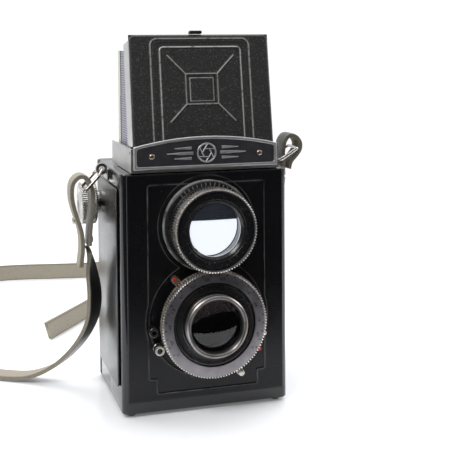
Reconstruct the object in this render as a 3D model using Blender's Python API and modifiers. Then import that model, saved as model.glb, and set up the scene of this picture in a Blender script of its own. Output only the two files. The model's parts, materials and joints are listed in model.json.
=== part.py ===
"""A twin lens reflex roll-film camera, built up as the real one comes apart on a bench.

Millimetres in, metres out. X is to the right as the camera is seen from the front, Y runs from the front to
the back and Z up. The origin is on the underside of the tripod plate, half way through the closed body.
Depths are counted back from the front plate's face and reaches forward from it.
"""

import math

import bpy
import bmesh
from mathutils import Vector

MM = 0.001
GAP = 0.3  # air between pieces that touch on the real camera
RUN = 0.4  # air between pieces that move against each other

# Body casting and back
BODY_WIDTH = 80.8
BODY_TOP = 109.4
STAND = 4.4  # heights are from a datum this far above the table
BODY_BOTTOM = -2.9
BODY_WALL = 1.6
BODY_BACK = 60.0  # depth of the parting line between casting and back
CAMERA_DEPTH = 70.0
FRONT_FACE = -CAMERA_DEPTH / 2  # world Y of the front plate's face
CORNER_RADIUS = 3.2
BACK_WALL = 1.4
FRONT_PLATE = (75.8, 2.9, 109.1, 1.2)  # width, bottom, top, thickness
SIDE_COVER_THICK = 0.9
FOOT_RADIUS = 2.2

# Lenses
TAKING_HEIGHT = 40.3
GEAR_MODULE = 0.425
TAKING_TEETH = 116
VIEWING_TEETH = 90
LENS_SPACING = GEAR_MODULE * (TAKING_TEETH + VIEWING_TEETH) / 2 + 0.06
VIEWING_HEIGHT = TAKING_HEIGHT + LENS_SPACING
TAKING_GEAR_REACH = (8.8, 13.7)
VIEWING_GEAR_REACH = (10.0, 17.4)
HOUSING_RADIUS = 21.9
HOUSING_REACH = 8.0
BARREL_RADIUS = 19.0
COLLAR_RADIUS = 21.5
COLLAR_REACH = 2.8
VIEWING_BARREL = 17.5
FRONT_RIM_RADIUS = 14.46
FRONT_RIM_REACH = 18.4
TAKING_GLASS = 11.5
VIEWING_GLASS = 12.0
RING_RADII = (max(HOUSING_RADIUS, BARREL_RADIUS) + 0.3, 23.4)  # the lever rings, which clear the housing and its barrel

# Hood
HOOD_WIDTH = 71.2
HOOD_DEPTHS = (0.5, 49.0)
HOOD_BOTTOM = BODY_TOP + GAP
HOOD_TOP = 120.8
HOOD_WALL = 1.0
HOOD_LEDGE = (111.4, 112.2)
HOOD_OPENING = (29.5, 4.5, 45.5)  # half width, front and back depth
PANEL = 0.5
PANEL_X = 32.8
LEFT_PANEL_Z = 115.2
RIGHT_PANEL_Z = 116.2
REAR_PANEL_Z = 117.2
SIDE_PANEL_TOP = 165.8
REAR_PANEL_DEPTH = 46.6
REAR_PANEL_LENGTH = 42.0
REAR_PANEL_HALF = 28.4
LID_PIVOT = (3.0, 118.8)  # depth, height
LID_LEAN = 9.5
LID_LENGTH = 55.2
LID_HALF = 34.2
LID_FLANGE = 12.0
LID_WALL = 0.6
ROD = 0.9  # rolled edge of each folding panel
STUB = 0.55
FLAP = (12.4, 22.9, 34.9)  # width, lower and upper edge along the lid
MAGNIFIER_DROP = 46.0  # pivot height above the left panel's hinge
MAGNIFIER_ARM = 31.0
MAGNIFIER_RADIUS = 11.5

# Film path
SPOOL_LENGTH = 65.5
SPOOL_FLANGE = 12.2
SPOOL_CORE = 5.5
SPOOL_BORE = 2.7
TAKEUP = (53.0, 89.1)  # depth, height of the spool's axis
FEED = (15.9, 15.3)
GATE = 56.0
GATE_DEPTH = 55.5
GATE_THICK = 1.5
SHAFT = 2.0
KNOB_RADIUS = 10.6
KNOB_OUTER = 51.8
SPOOL_KNOB_RADIUS = 6.5
SPOOL_KNOB_THICK = 2.6
FEED_KNOB_THICK = 1.5
MIRROR_DEPTH = 28.5  # where the viewing axis meets the mirror
MIRROR_SIZE = (56.0, 54.0)
MIRROR_THICK = 1.2

# Strap and its fittings
LUG_DEPTH = 33.0
LUG_HEIGHT = 104.5
LUG_X = 43.2
RING_WIRE = 0.8
STRAP_WIDTH = 11.0
STRAP_THICK = 2.2

for old in list(bpy.data.objects):
    bpy.data.objects.remove(old, do_unlink=True)
PARTS = bpy.data.collections.new("twin_lens_reflex_camera")
CUTTERS = bpy.data.collections.new("cutters")
for collection in (PARTS, CUTTERS):
    bpy.context.scene.collection.children.link(collection)


def finish(name, colour, roughness, metallic):
    material = bpy.data.materials.new(name)
    material.use_nodes = True
    shader = material.node_tree.nodes["Principled BSDF"]
    shader.inputs["Base Color"].default_value = (*colour, 1)
    shader.inputs["Roughness"].default_value = roughness
    shader.inputs["Metallic"].default_value = metallic
    return material


ENAMEL = finish("black_enamel", (0.015, 0.015, 0.017), 0.25, 0)
LEATHERETTE = finish("leatherette", (0.02, 0.02, 0.02), 0.6, 0)
CHROME = finish("satin_chrome", (0.75, 0.75, 0.73), 0.25, 1)
ALUMINIUM = finish("aluminium", (0.6, 0.6, 0.6), 0.4, 1)
BRASS = finish("brass", (0.6, 0.45, 0.2), 0.35, 1)
GLASS = finish("optical_glass", (0.75, 0.8, 0.85), 0.02, 0)
STRAP_LEATHER = finish("strap_leather", (0.06, 0.05, 0.045), 0.7, 0)
RED = finish("red_filter", (0.5, 0.02, 0.02), 0.2, 0)


def add(name, data, material, cutter=False):
    """A new object in the camera's collection, or out of sight among the cutters."""
    item = bpy.data.objects.new(name, data)
    (CUTTERS if cutter else PARTS).objects.link(item)
    item.hide_render = cutter
    item.display_type = "WIRE" if cutter else "TEXTURED"
    if material:
        data.materials.append(material)
    return item


def box(name, low, high, material=None, cutter=False, bevel=0.0, segments=2):
    shape = bmesh.new()
    bmesh.ops.create_cube(shape, size=1)
    size = [(b - a) * MM for a, b in zip(low, high)]
    bmesh.ops.scale(shape, vec=size, verts=shape.verts)
    mesh = bpy.data.meshes.new(name)
    shape.to_mesh(mesh)
    shape.free()
    item = add(name, mesh, material, cutter)
    item.location = [(a + b) / 2 * MM for a, b in zip(low, high)]
    if bevel:
        edge = item.modifiers.new("edges", "BEVEL")
        edge.width = bevel * MM
        edge.segments = segments
    return item


TURN = {
    "+X": (0, math.pi / 2, 0),
    "-X": (0, -math.pi / 2, 0),
    "+Y": (-math.pi / 2, 0, 0),
    "-Y": (math.pi / 2, 0, 0),
    "+Z": (0, 0, 0),
    "-Z": (math.pi, 0, 0),
}


def turned(name, profile, place, axis, material=None, sides=32, cutter=False):
    """A lathe-turned piece: (radius, height) points down its outer side, spun about the axis through place."""
    mesh = bpy.data.meshes.new(name)
    points = [(radius * MM, 0, height * MM) for radius, height in profile]
    closed = profile[0][0] > 0
    edges = [(i, i + 1) for i in range(len(points) - 1)]
    if closed:
        edges.append((len(points) - 1, 0))
    mesh.from_pydata(points, edges, [])
    item = add(name, mesh, material, cutter)
    item.location = [value * MM for value in place]
    item.rotation_euler = TURN[axis]
    screw = item.modifiers.new("turn", "SCREW")
    screw.steps = screw.render_steps = sides
    screw.use_merge_vertices = True
    screw.merge_threshold = 0.00001
    screw.use_smooth_shade = True
    return item


def tube(inner, outer, low, high):
    """The profile of a plain ring."""
    return [(outer, high), (outer, low), (inner, low), (inner, high)]


def disc(radius, low, high):
    """The profile of a plain cylinder."""
    return [(0, high), (radius, high), (radius, low), (0, low)]


def lens(radius, edge, front, back, steps=3):
    """The profile of a lens: edge thickness, and how far each face bulges at the middle."""
    share = [i / steps for i in range(steps + 1)]
    top = [(radius * s, edge / 2 + front * (1 - s * s)) for s in share]
    return top + [(radius * s, -edge / 2 - back * (1 - s * s)) for s in reversed(share)]


LAY = {"front": (math.pi / 2, 0, 0), "side": (math.pi / 2, 0, math.pi / 2), "top": (0, 0, 0)}


def flat(name, outlines, thick, place, lay, material=None, cutter=False):
    """A sheet piece: closed outlines in its own plane, the inner ones holes, with its mid-thickness at place."""
    curve = bpy.data.curves.new(name, "CURVE")
    curve.dimensions = "2D"
    curve.fill_mode = "BOTH"
    curve.extrude = thick / 2 * MM
    for outline in outlines:
        spline = curve.splines.new("POLY")
        spline.points.add(len(outline) - 1)
        for point, (u, v) in zip(spline.points, outline):
            point.co = (u * MM, v * MM, 0, 1)
        spline.use_cyclic_u = True
    item = add(name, curve, material, cutter)
    item.location = [value * MM for value in place]
    item.rotation_euler = LAY[lay]
    return item


def as_mesh(item):
    """The curve object made a mesh with its caps welded on, so that it can be cut or joined."""
    bpy.context.view_layer.update()
    graph = bpy.context.evaluated_depsgraph_get()
    mesh = bpy.data.meshes.new_from_object(item.evaluated_get(graph))
    shape = bmesh.new()
    shape.from_mesh(mesh)
    bmesh.ops.remove_doubles(shape, verts=shape.verts, dist=0.000001)
    bmesh.ops.recalc_face_normals(shape, faces=shape.faces)
    shape.to_mesh(mesh)
    shape.free()
    name = item.name
    item.name = name + "_outline"
    made = add(name, mesh, None, item.name in CUTTERS.objects)
    made.matrix_world = item.matrix_world
    bpy.data.objects.remove(item, do_unlink=True)
    return made


def combine(item, others, operation):
    for other in others:
        change = item.modifiers.new(other.name, "BOOLEAN")
        change.operation = operation
        change.object = other
        if other.name in PARTS.objects:
            PARTS.objects.unlink(other)
            CUTTERS.objects.link(other)
        other.hide_render = True
        other.display_type = "WIRE"
    return item


def cut(item, *cutters):
    return combine(item, cutters, "DIFFERENCE")


def join(item, *others):
    return combine(item, others, "UNION")


def arc(centre, radius, start, end, steps):
    """Points on an arc, in degrees, both ends included."""
    angles = [math.radians(start + (end - start) * i / steps) for i in range(steps + 1)]
    return [(centre[0] + radius * math.cos(a), centre[1] + radius * math.sin(a)) for a in angles]


def circle(centre, radius, sides):
    return arc(centre, radius, 0, 360 - 360 / sides, sides - 1)


def rectangle(low, high, radii=(0, 0, 0, 0), steps=3):
    """A rectangle with its own radius at each corner, anticlockwise from the lower left."""
    corners = [low, (high[0], low[1]), high, (low[0], high[1])]
    inward = [(1, 1), (-1, 1), (-1, -1), (1, -1)]
    outline = []
    for i, (corner, side, radius) in enumerate(zip(corners, inward, radii)):
        centre = (corner[0] + side[0] * radius, corner[1] + side[1] * radius)
        outline += arc(centre, radius, 180 + 90 * i, 270 + 90 * i, steps) if radius else [corner]
    return outline


def at(depth):
    """World Y of a depth behind the front plate's face."""
    return FRONT_FACE + depth


def pivot(name, place, lean=0.0):
    """An empty on a joint's axis."""
    item = bpy.data.objects.new(name, None)
    PARTS.objects.link(item)
    item.location = [value * MM for value in place]
    item.rotation_euler.x = math.radians(-lean)
    return item


def with_tools(pieces):
    """The pieces and every cutter or addition that their Booleans use, so that all of them move together."""
    found = []
    for piece in pieces:
        tools = [change.object for change in piece.modifiers if change.type == "BOOLEAN"]
        found += [piece, *with_tools(tools)]
    return found


def hang(holder, *pieces):
    """Parents pieces that were placed in world coordinates to an unturned empty."""
    for piece in with_tools(pieces):
        piece.location -= holder.location
        piece.parent = holder


def carry(holder, *pieces):
    """Parents pieces that were placed in the holder's own coordinates."""
    for piece in with_tools(pieces):
        piece.parent = holder


TAKING = (0, FRONT_FACE, TAKING_HEIGHT)
VIEWING = (0, FRONT_FACE, VIEWING_HEIGHT)


def body_casting():
    half = BODY_WIDTH / 2
    front = FRONT_PLATE[3] + GAP
    outline = rectangle((-half, at(front)), (half, at(BODY_BACK)), (CORNER_RADIUS, CORNER_RADIUS, 0, 0))
    height = BODY_TOP - BODY_BOTTOM
    middle = (BODY_TOP + BODY_BOTTOM) / 2
    shell = as_mesh(flat("body_shell", [outline], height, (0, 0, middle), "top", ENAMEL))
    cut(
        shell,
        box(
            "cut_cavity",
            (-half + BODY_WALL, at(front + BODY_WALL), BODY_BOTTOM + BODY_WALL),
            (half - BODY_WALL, at(BODY_BACK + 5), BODY_TOP - BODY_WALL),
            cutter=True,
        ),
        box("cut_screen_opening", (-27.5, at(5), BODY_TOP - 5), (27.5, at(46), BODY_TOP + 5), cutter=True),
        turned("cut_viewing_hole", disc(16.3, -8, 8), VIEWING, "-Y", sides=32, cutter=True),
        turned("cut_taking_hole", disc(15.6, -8, 8), TAKING, "-Y", sides=32, cutter=True),
        turned("cut_winding_hole", disc(2.6, 35, 45), (0, at(TAKEUP[0]), TAKEUP[1]), "-X", sides=16, cutter=True),
        turned("cut_takeup_hole", disc(2.6, 35, 45), (0, at(TAKEUP[0]), TAKEUP[1]), "+X", sides=16, cutter=True),
        turned("cut_feed_hole", disc(2.6, 35, 45), (0, at(FEED[0]), FEED[1]), "+X", sides=16, cutter=True),
    )
    stud_reach = SPOOL_LENGTH / 2 - 2.5
    feet = [
        turned(f"foot_{x:.0f}_{depth}", disc(FOOT_RADIUS, -STAND, BODY_BOTTOM + 0.3), (x, at(depth), 0), "+Z", sides=16)
        for x in (-35.5, 35.5)
        for depth in (6.5, 54)
    ]
    join(
        shell,
        *feet,
        turned("feed_stud", disc(SHAFT, stud_reach, half - 0.5), (0, at(FEED[0]), FEED[1]), "-X", sides=12),
        *[hinge_ear(f"back_ear_{side}", 20 * side, 30 * side, False) for side in (-1, 1)],
    )


BACK_HINGE = (BODY_BACK + 0.6, BODY_TOP + 1.6)  # depth, height of the back's hinge pin


def hinge_ear(name, start, end, on_back):
    """A knuckle of the back's hinge with its foot, bored for the pin."""
    low, high = min(start, end), max(start, end)
    depth, height = BACK_HINGE
    ear = turned(name, tube(1.0, 1.6, low, high), (0, at(depth), height), "+X", sides=16)
    reach = (depth + 1.15, depth + 3.5) if on_back else (depth - 4.5, depth - 1.15)
    foot = box(name + "_foot", (low, at(reach[0]), BODY_TOP - 0.6), (high, at(reach[1]), height + 0.6))
    return join(ear, foot)


def front_plate():
    width, bottom, top, thick = FRONT_PLATE
    outline = rectangle((-width / 2, bottom), (width / 2, top), (1.5,) * 4, 2)
    holes = [circle((0, VIEWING_HEIGHT), 16.3, 32), circle((0, TAKING_HEIGHT), 15.6, 32)]
    flat("front_plate", [outline, *holes], thick, (0, at(thick / 2), 0), "front", ENAMEL)


def side_covers():
    """Leather-grained covers on the casting's sides; the right one stops above the feed spool's knob."""
    half = BODY_WIDTH / 2
    centre = half + GAP + SIDE_COVER_THICK / 2
    winding_hole = circle((at(TAKEUP[0]), TAKEUP[1]), 3.0, 16)
    outline = rectangle((at(7), 8.5), (at(58.5), 102), (2.5,) * 4)
    flat("left_side_cover", [outline, winding_hole], SIDE_COVER_THICK, (-centre, 0, 0), "side", LEATHERETTE)
    outline = rectangle((at(7), 34), (at(58.5), 102), (2.5,) * 4)
    flat("right_side_cover", [outline, winding_hole], SIDE_COVER_THICK, (centre, 0, 0), "side", LEATHERETTE)


def underside():
    """Tripod plate, flush with the casting's four feet, on which the camera stands."""
    plate = box("tripod_plate", (-14, -16, -STAND), (14, 16, BODY_BOTTOM - GAP), ALUMINIUM, bevel=0.3, segments=1)
    cut(plate, turned("cut_tripod_thread", disc(3.1, -2, 4), (0, -9, -STAND), "+Z", sides=24, cutter=True))


def back():
    """The hinged back: tray, film window, its swinging cover, pressure plate, spring and catch."""
    half = BODY_WIDTH / 2
    low, high = BODY_BACK + GAP, CAMERA_DEPTH
    outline = rectangle((-half, at(low)), (half, at(high)), (0, 0, CORNER_RADIUS, CORNER_RADIUS))
    middle = (BODY_TOP + BODY_BOTTOM) / 2
    tray = as_mesh(flat("back_cover", [outline], BODY_TOP - BODY_BOTTOM, (0, 0, middle), "top", ENAMEL))
    window = (0, at(high), TAKING_HEIGHT)
    cut(
        tray,
        box(
            "cut_tray",
            (-half + BACK_WALL, at(low - 5), BODY_BOTTOM + BACK_WALL),
            (half - BACK_WALL, at(high - BACK_WALL), BODY_TOP - BACK_WALL),
            cutter=True,
        ),
        turned("cut_window", disc(4.4, -4, 4), window, "-Y", sides=20, cutter=True),
    )
    join(tray, hinge_ear("tray_ear", -19.5, 19.5, True))
    inner = high - BACK_WALL
    rubber = turned("film_window", disc(5.6, GAP, GAP + 0.8), (0, at(inner), TAKING_HEIGHT), "-Y", RED, sides=20)
    swing = turned("window_cover", disc(6.4, GAP, GAP + 0.8), (0, at(high), TAKING_HEIGHT), "+Y", CHROME, sides=24)
    tab = box(
        "cover_tab",
        (-1.6, at(high + GAP), TAKING_HEIGHT + 4),
        (1.6, at(high + GAP + 0.8), TAKING_HEIGHT + 12.5),
    )
    grip = turned("cover_grip", disc(1.2, 1.0, 2.4), (0, at(high), TAKING_HEIGHT - 3.5), "+Y", sides=12)
    join(swing, tab, grip)
    plate_low, plate_high = GATE_DEPTH + GATE_THICK + GAP + 0.2, GATE_DEPTH + GATE_THICK + GAP + 1.2
    plate = box(
        "pressure_plate",
        (-31, at(plate_low), TAKING_HEIGHT - 31),
        (31, at(plate_high), TAKING_HEIGHT + 31),
        ALUMINIUM,
    )
    spring = pressure_spring(plate_high + GAP, inner - GAP - 1.2)
    catch = box(
        "back_catch",
        (-8, at(high + GAP), 6),
        (8, at(high + GAP + 1.4), 12),
        CHROME,
        bevel=0.35,
        segments=1,
    )
    holder = pivot("back_hinge", (0, at(BACK_HINGE[0]), BACK_HINGE[1]))
    hang(holder, tray, rubber, swing, plate, spring, catch)
    turned(
        "back_hinge_pin",
        disc(0.7, -31, 31),
        (0, at(BACK_HINGE[0]), BACK_HINGE[1]),
        "+X",
        CHROME,
        sides=10,
    )


def pressure_spring(low, high):
    """A bowed leaf of spring steel between the pressure plate and the back."""
    steps = 10
    thick = 0.4
    rise = high - low - thick
    upper = [(-24 + 48 * i / steps, at(low) + thick + rise * math.sin(math.pi * i / steps)) for i in range(steps + 1)]
    lower = [(x, y - thick) for x, y in reversed(upper)]
    spring = flat("pressure_spring", [upper + lower], 9, (0, 0, TAKING_HEIGHT - 12), "top", ALUMINIUM)
    return spring


def gear(name, teeth, bore, reach, place, material, phase):
    """A spur-toothed focusing ring; backlash keeps the two rings free."""
    pitch_radius = GEAR_MODULE * teeth / 2
    tip, root = pitch_radius + 0.3, pitch_radius - 0.4
    pitch = 2 * math.pi / teeth
    tip_share, root_share = 0.14, 0.30
    outline = []
    for tooth in range(teeth):
        centre = (tooth + phase) * pitch
        for radius, turn in ((root, -root_share), (tip, -tip_share), (tip, tip_share), (root, root_share)):
            angle = centre + turn * pitch
            outline.append((radius * math.cos(angle), radius * math.sin(angle)))
    low, high = reach
    middle = (low + high) / 2
    return flat(
        name,
        [outline, circle((0, 0), bore, 36)],
        high - low,
        (place[0], place[1] - middle, place[2]),
        "front",
        material,
    )


def viewing_lens():
    collar = [
        (COLLAR_RADIUS, COLLAR_REACH),
        (COLLAR_RADIUS, GAP),
        (15.9, GAP),
        (15.9, -6),
        (12.4, -6),
        (12.4, VIEWING_GEAR_REACH[0] + 2.6),
        (VIEWING_BARREL, VIEWING_GEAR_REACH[0] + 2.6),
        (VIEWING_BARREL, COLLAR_REACH),
    ]
    turned("viewing_lens_mount", collar, VIEWING, "-Y", ENAMEL, sides=32)
    low, high = VIEWING_GEAR_REACH
    # A tooth of one ring faces a space of the other on the line between the axes.
    phase = (0.5 - (VIEWING_TEETH * 0.75) % 1) % 1
    ring = gear("viewing_focus_ring", VIEWING_TEETH, VIEWING_BARREL + RUN, (low, high), VIEWING, ENAMEL, phase)
    bezel_low, bezel_high = low + 2.6 + GAP, high - 0.6
    bezel = turned(
        "viewing_lens_bezel",
        [
            (VIEWING_BARREL + 0.1, bezel_high),
            (VIEWING_BARREL + 0.1, bezel_low),
            (VIEWING_GLASS + GAP, bezel_low),
            (VIEWING_GLASS + GAP, bezel_low + 2.0),
        ],
        VIEWING,
        "-Y",
        ENAMEL,
        sides=32,
    )
    glass_at = (0, FRONT_FACE - bezel_low - 1.2, VIEWING_HEIGHT)
    glass = turned("viewing_front_lens", lens(VIEWING_GLASS, 1.2, 1.6, 0.3), glass_at, "-Y", GLASS, sides=24)
    hang(pivot("viewing_axis", VIEWING), ring, bezel, glass)
    rear_at = (0, FRONT_FACE - 2, VIEWING_HEIGHT)
    turned("viewing_rear_lens", lens(VIEWING_GLASS, 1.6, 0.6, 1.4), rear_at, "-Y", GLASS, sides=24)


def taking_lens():
    low, high = TAKING_GEAR_REACH
    barrel = [
        (HOUSING_RADIUS, HOUSING_REACH),
        (HOUSING_RADIUS, GAP),
        (15.2, GAP),
        (15.2, -4),
        (10.2, -4),
        (10.2, low + 0.6),
        (17.2, low + 0.6),
        (17.2, low + 2.4),
        (BARREL_RADIUS, low + 2.4),
        (BARREL_RADIUS, HOUSING_REACH),
    ]
    turned("shutter_housing", barrel, TAKING, "-Y", ENAMEL, sides=32)
    phase = 0.0 if TAKING_TEETH % 4 == 0 else 0.5
    ring = gear("taking_focus_ring", TAKING_TEETH, BARREL_RADIUS + RUN, (low, high), TAKING, CHROME, phase)
    recess = turned(
        "taking_recess_ring",
        tube(FRONT_RIM_RADIUS + GAP, BARREL_RADIUS + 0.1, low + 2.4 + GAP, low + 3.9),
        TAKING,
        "-Y",
        ENAMEL,
        sides=32,
    )
    rim = turned(
        "taking_front_rim",
        [
            (FRONT_RIM_RADIUS - 0.5, FRONT_RIM_REACH),
            (FRONT_RIM_RADIUS, FRONT_RIM_REACH - 0.5),
            (FRONT_RIM_RADIUS, low + 1.4),
            (TAKING_GLASS + GAP, low + 1.4),
            (TAKING_GLASS + GAP, FRONT_RIM_REACH - 1.6),
            (FRONT_RIM_RADIUS - 1.4, FRONT_RIM_REACH),
        ],
        TAKING,
        "-Y",
        CHROME,
        sides=32,
    )
    glass_at = (0, FRONT_FACE - FRONT_RIM_REACH + 4.2, TAKING_HEIGHT)
    glass = turned("taking_front_lens", lens(TAKING_GLASS, 1.4, 1.9, 0.2), glass_at, "-Y", GLASS, sides=24)
    hang(pivot("taking_axis", TAKING), ring, recess, rim, glass)
    rear_at = (0, FRONT_FACE + 2.0, TAKING_HEIGHT)
    turned("taking_rear_lens", lens(9.8, 1.2, 0.5, 1.2), rear_at, "-Y", GLASS, sides=24)
    blades = [circle((0, 0), 9.8, 24), circle((0, 0), 5.5, 5)]
    flat("aperture_blades", blades, 0.4, (0, FRONT_FACE - 3.6, TAKING_HEIGHT), "front", ALUMINIUM)
    turned("shutter_blades", disc(9.8, 2.2, 2.6), TAKING, "-Y", ENAMEL, sides=24)


def ring_lever(name, angle, reach, tip_radius, width, tab, material, spread=26):
    """A lever on its own arc-shaped ring round the shutter housing, its tip bent forward to a tab."""
    inner, outer = RING_RADII
    low, high = reach
    thick = high - low
    half_arm = math.degrees(width / 2 / outer)
    arm = [(outer - 0.2, angle - half_arm), (tip_radius, angle - half_arm * outer / tip_radius)]
    arm += [(tip_radius, angle + half_arm * outer / tip_radius), (outer - 0.2, angle + half_arm)]
    points = [(r * math.cos(math.radians(a)), r * math.sin(math.radians(a))) for r, a in arm]
    outline = arc((0, 0), inner, angle + spread, angle - spread, 12)
    outline += arc((0, 0), outer, angle - spread, angle - half_arm - 1, 5) + points
    outline += arc((0, 0), outer, angle + half_arm + 1, angle + spread, 5)
    sheet = as_mesh(flat(name, [outline], thick, (0, FRONT_FACE - (low + high) / 2, TAKING_HEIGHT), "front"))
    sheet.data.materials.append(material)
    tab_radius = tip_radius - 0.9
    a = math.radians(angle)
    place = (
        tab_radius * math.cos(a),
        FRONT_FACE - low,
        TAKING_HEIGHT + tab_radius * math.sin(a),
    )
    join(sheet, turned(name + "_tab", disc(width * 0.42, thick / 2, thick + tab), place, "-Y", sides=12))
    hang(pivot(name + "_axis", TAKING), sheet)


def shutter_controls():
    """The speed ring, four levers each on its own ring, and the two sockets fixed to the housing."""
    inner = RING_RADII[0]
    ring = turned("speed_ring", tube(inner, 24.4, 6.9, 8.4), TAKING, "-Y", BRASS, sides=36)
    a = math.radians(130)
    pointer = turned(
        "speed_pointer",
        disc(1.7, 6.9, 8.4),
        (27.2 * math.cos(a), FRONT_FACE, TAKING_HEIGHT + 27.2 * math.sin(a)),
        "-Y",
        sides=14,
    )
    neck = turned(
        "speed_neck",
        disc(1.4, 7.0, 8.3),
        (25.2 * math.cos(a), FRONT_FACE, TAKING_HEIGHT + 25.2 * math.sin(a)),
        "-Y",
        sides=10,
    )
    join(ring, neck, pointer)
    hang(pivot("speed_axis", TAKING), ring)
    ring_lever("aperture_lever", 250, (5.95, 6.6), 27.4, 3.4, 1.0, ENAMEL)
    ring_lever("cocking_lever", 299, (5.0, 5.65), 30.8, 3.6, 3.0, CHROME)
    ring_lever("self_timer_lever", 327, (4.05, 4.7), 28.4, 2.8, 3.2, CHROME, 20)
    ring_lever("release_lever", 343, (3.1, 3.75), 28.4, 2.8, 3.6, CHROME, 20)
    turned(
        "cable_release_socket",
        [(2.5, 5.2), (2.5, GAP), (0, GAP), (0, 1.6), (1.0, 1.6), (1.0, 5.2)],
        (-26.6, FRONT_FACE, TAKING_HEIGHT - 3.8),
        "-Y",
        ENAMEL,
        sides=20,
    )
    turned(
        "flash_socket",
        [(0, 2.4), (1.2, 2.4), (1.2, 6.6), (2.3, 6.6), (2.3, GAP), (0, GAP)],
        (-24.4, FRONT_FACE, TAKING_HEIGHT - 11.9),
        "-Y",
        CHROME,
        sides=20,
    )


def nameplate():
    bottom, corner, crown, half = 111.2, 121.8, 126.0, 34.6
    span = half - 1
    sagitta = crown - corner
    radius = (span**2 + sagitta**2) / (2 * sagitta)
    sweep = math.degrees(math.asin(span / radius))
    outline = [(-half, bottom), (half, bottom), (half, corner)]
    outline += arc((0, crown - radius), radius, 90 - sweep, 90 + sweep, 10) + [(-half, corner)]
    plate = as_mesh(flat("nameplate", [outline], 0.8, (0, at(-0.6), 0), "front"))
    plate.data.materials.append(ALUMINIUM)
    profile = [(0, 1.7), (0.9, 1.55), (1.4, 1.1), (1.4, 0.6), (0, 0.6)]
    join(plate, *[turned(f"rivet_{x}", profile, (x, FRONT_FACE, 117.2), "-Y", sides=12) for x in (-26, 26)])


def hood_base():
    half = HOOD_WIDTH / 2
    front, back_edge = HOOD_DEPTHS
    frame = box(
        "hood_base_frame",
        (-half, at(front), HOOD_BOTTOM),
        (half, at(back_edge), HOOD_TOP),
        ALUMINIUM,
    )
    inner = half - HOOD_WALL
    opening, near, far = HOOD_OPENING
    low, high = HOOD_LEDGE
    cut(
        frame,
        box("cut_above", (-inner, at(front + 1), high), (inner, at(back_edge - 1), HOOD_TOP + 5), cutter=True),
        box("cut_below", (-inner, at(front + 1), 100), (inner, at(back_edge - 1), low), cutter=True),
        box("cut_through", (-opening, at(near), 100), (opening, at(far), 130), cutter=True),
        box("cut_back_wall", (-inner, at(back_edge - 3), 112.8), (inner, at(back_edge + 5), 130), cutter=True),
        box("cut_front_wall", (-inner, at(-5), LID_PIVOT[1] - 1.6), (inner, at(front + 5), 130), cutter=True),
        turned("cut_lid_pivot", disc(ROD, -40, 40), (0, at(LID_PIVOT[0]), LID_PIVOT[1]), "+X", sides=14, cutter=True),
    )
    ears = []
    for side, height in ((-1, LEFT_PANEL_Z), (1, RIGHT_PANEL_Z)):
        x = side * PANEL_X
        for end, depth in (("front", 3.6), ("back", 46.0)):
            name = f"side_ear_{'left' if side < 0 else 'right'}_{end}"
            ear = box(name, (x - 1.0, at(depth), high - 0.3), (x + 1.0, at(depth + 0.8), height + 1.0))
            hole = turned(
                "cut_" + name, disc(ROD, -3, 3), (x, at(depth), height), "+Y", sides=12, cutter=True
            )
            ears.append(cut(ear, hole))
    for side in (-1, 1):
        x = side * (REAR_PANEL_HALF + 1.4)
        ear = box(
            f"rear_ear_{'left' if side < 0 else 'right'}",
            (x - 0.5, at(REAR_PANEL_DEPTH - 1.0), high - 0.3),
            (x + 0.5, at(REAR_PANEL_DEPTH + 1.4), REAR_PANEL_Z + 1.0),
        )
        hole = turned(
            f"cut_rear_ear_{'left' if side < 0 else 'right'}",
            disc(ROD, x - 3, x + 3),
            (0, at(REAR_PANEL_DEPTH), REAR_PANEL_Z),
            "+X",
            sides=12,
            cutter=True,
        )
        ears.append(cut(ear, hole))
    join(frame, *ears)
    box(
        "viewing_screen",
        (-33, at(3), HOOD_BOTTOM + 0.1),
        (33, at(46.5), HOOD_LEDGE[0] - GAP),
        GLASS,
    )


def rolled_edge(name, low, high, place, axis):
    """A panel's rolled hinge edge with a stub pin at each end."""
    stub = 1.3
    profile = [
        (0, high + stub),
        (STUB, high + stub),
        (STUB, high),
        (ROD, high),
        (ROD, low),
        (STUB, low),
        (STUB, low - stub),
        (0, low - stub),
    ]
    return turned(name, profile, place, axis, sides=12)


def side_panel(name, side, hinge_height, back_edge, top):
    """A side panel: its front edge follows just behind the leaning lid, its back edge is bent inward."""
    lean = math.tan(math.radians(LID_LEAN))
    clear = 1.6
    start = 4.9

    def front_at(height):
        return LID_PIVOT[0] + clear + (height - LID_PIVOT[1]) * lean

    outline = [
        (at(start), hinge_height),
        (at(back_edge), hinge_height),
        (at(back_edge), top),
        (at(front_at(top)), top),
        (at(max(start, front_at(hinge_height + 5))), hinge_height + 5),
    ]
    x = side * PANEL_X
    sheet = as_mesh(flat(name, [outline], PANEL, (x, 0, 0), "side"))
    sheet.data.materials.append(ALUMINIUM)
    bend_low, bend_high = sorted((x, x - side * 3.0))
    bend = box(
        name + "_bend",
        (bend_low, at(back_edge - PANEL - 0.1), hinge_height + 3.0),
        (bend_high, at(back_edge - 0.1), top - 0.2),
    )
    edge = rolled_edge(name + "_edge", start, 45.4, (x, FRONT_FACE, hinge_height), "+Y")
    join(sheet, bend, edge)
    holder = pivot(name + "_hinge", (x, FRONT_FACE, hinge_height))
    hang(holder, sheet)


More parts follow.
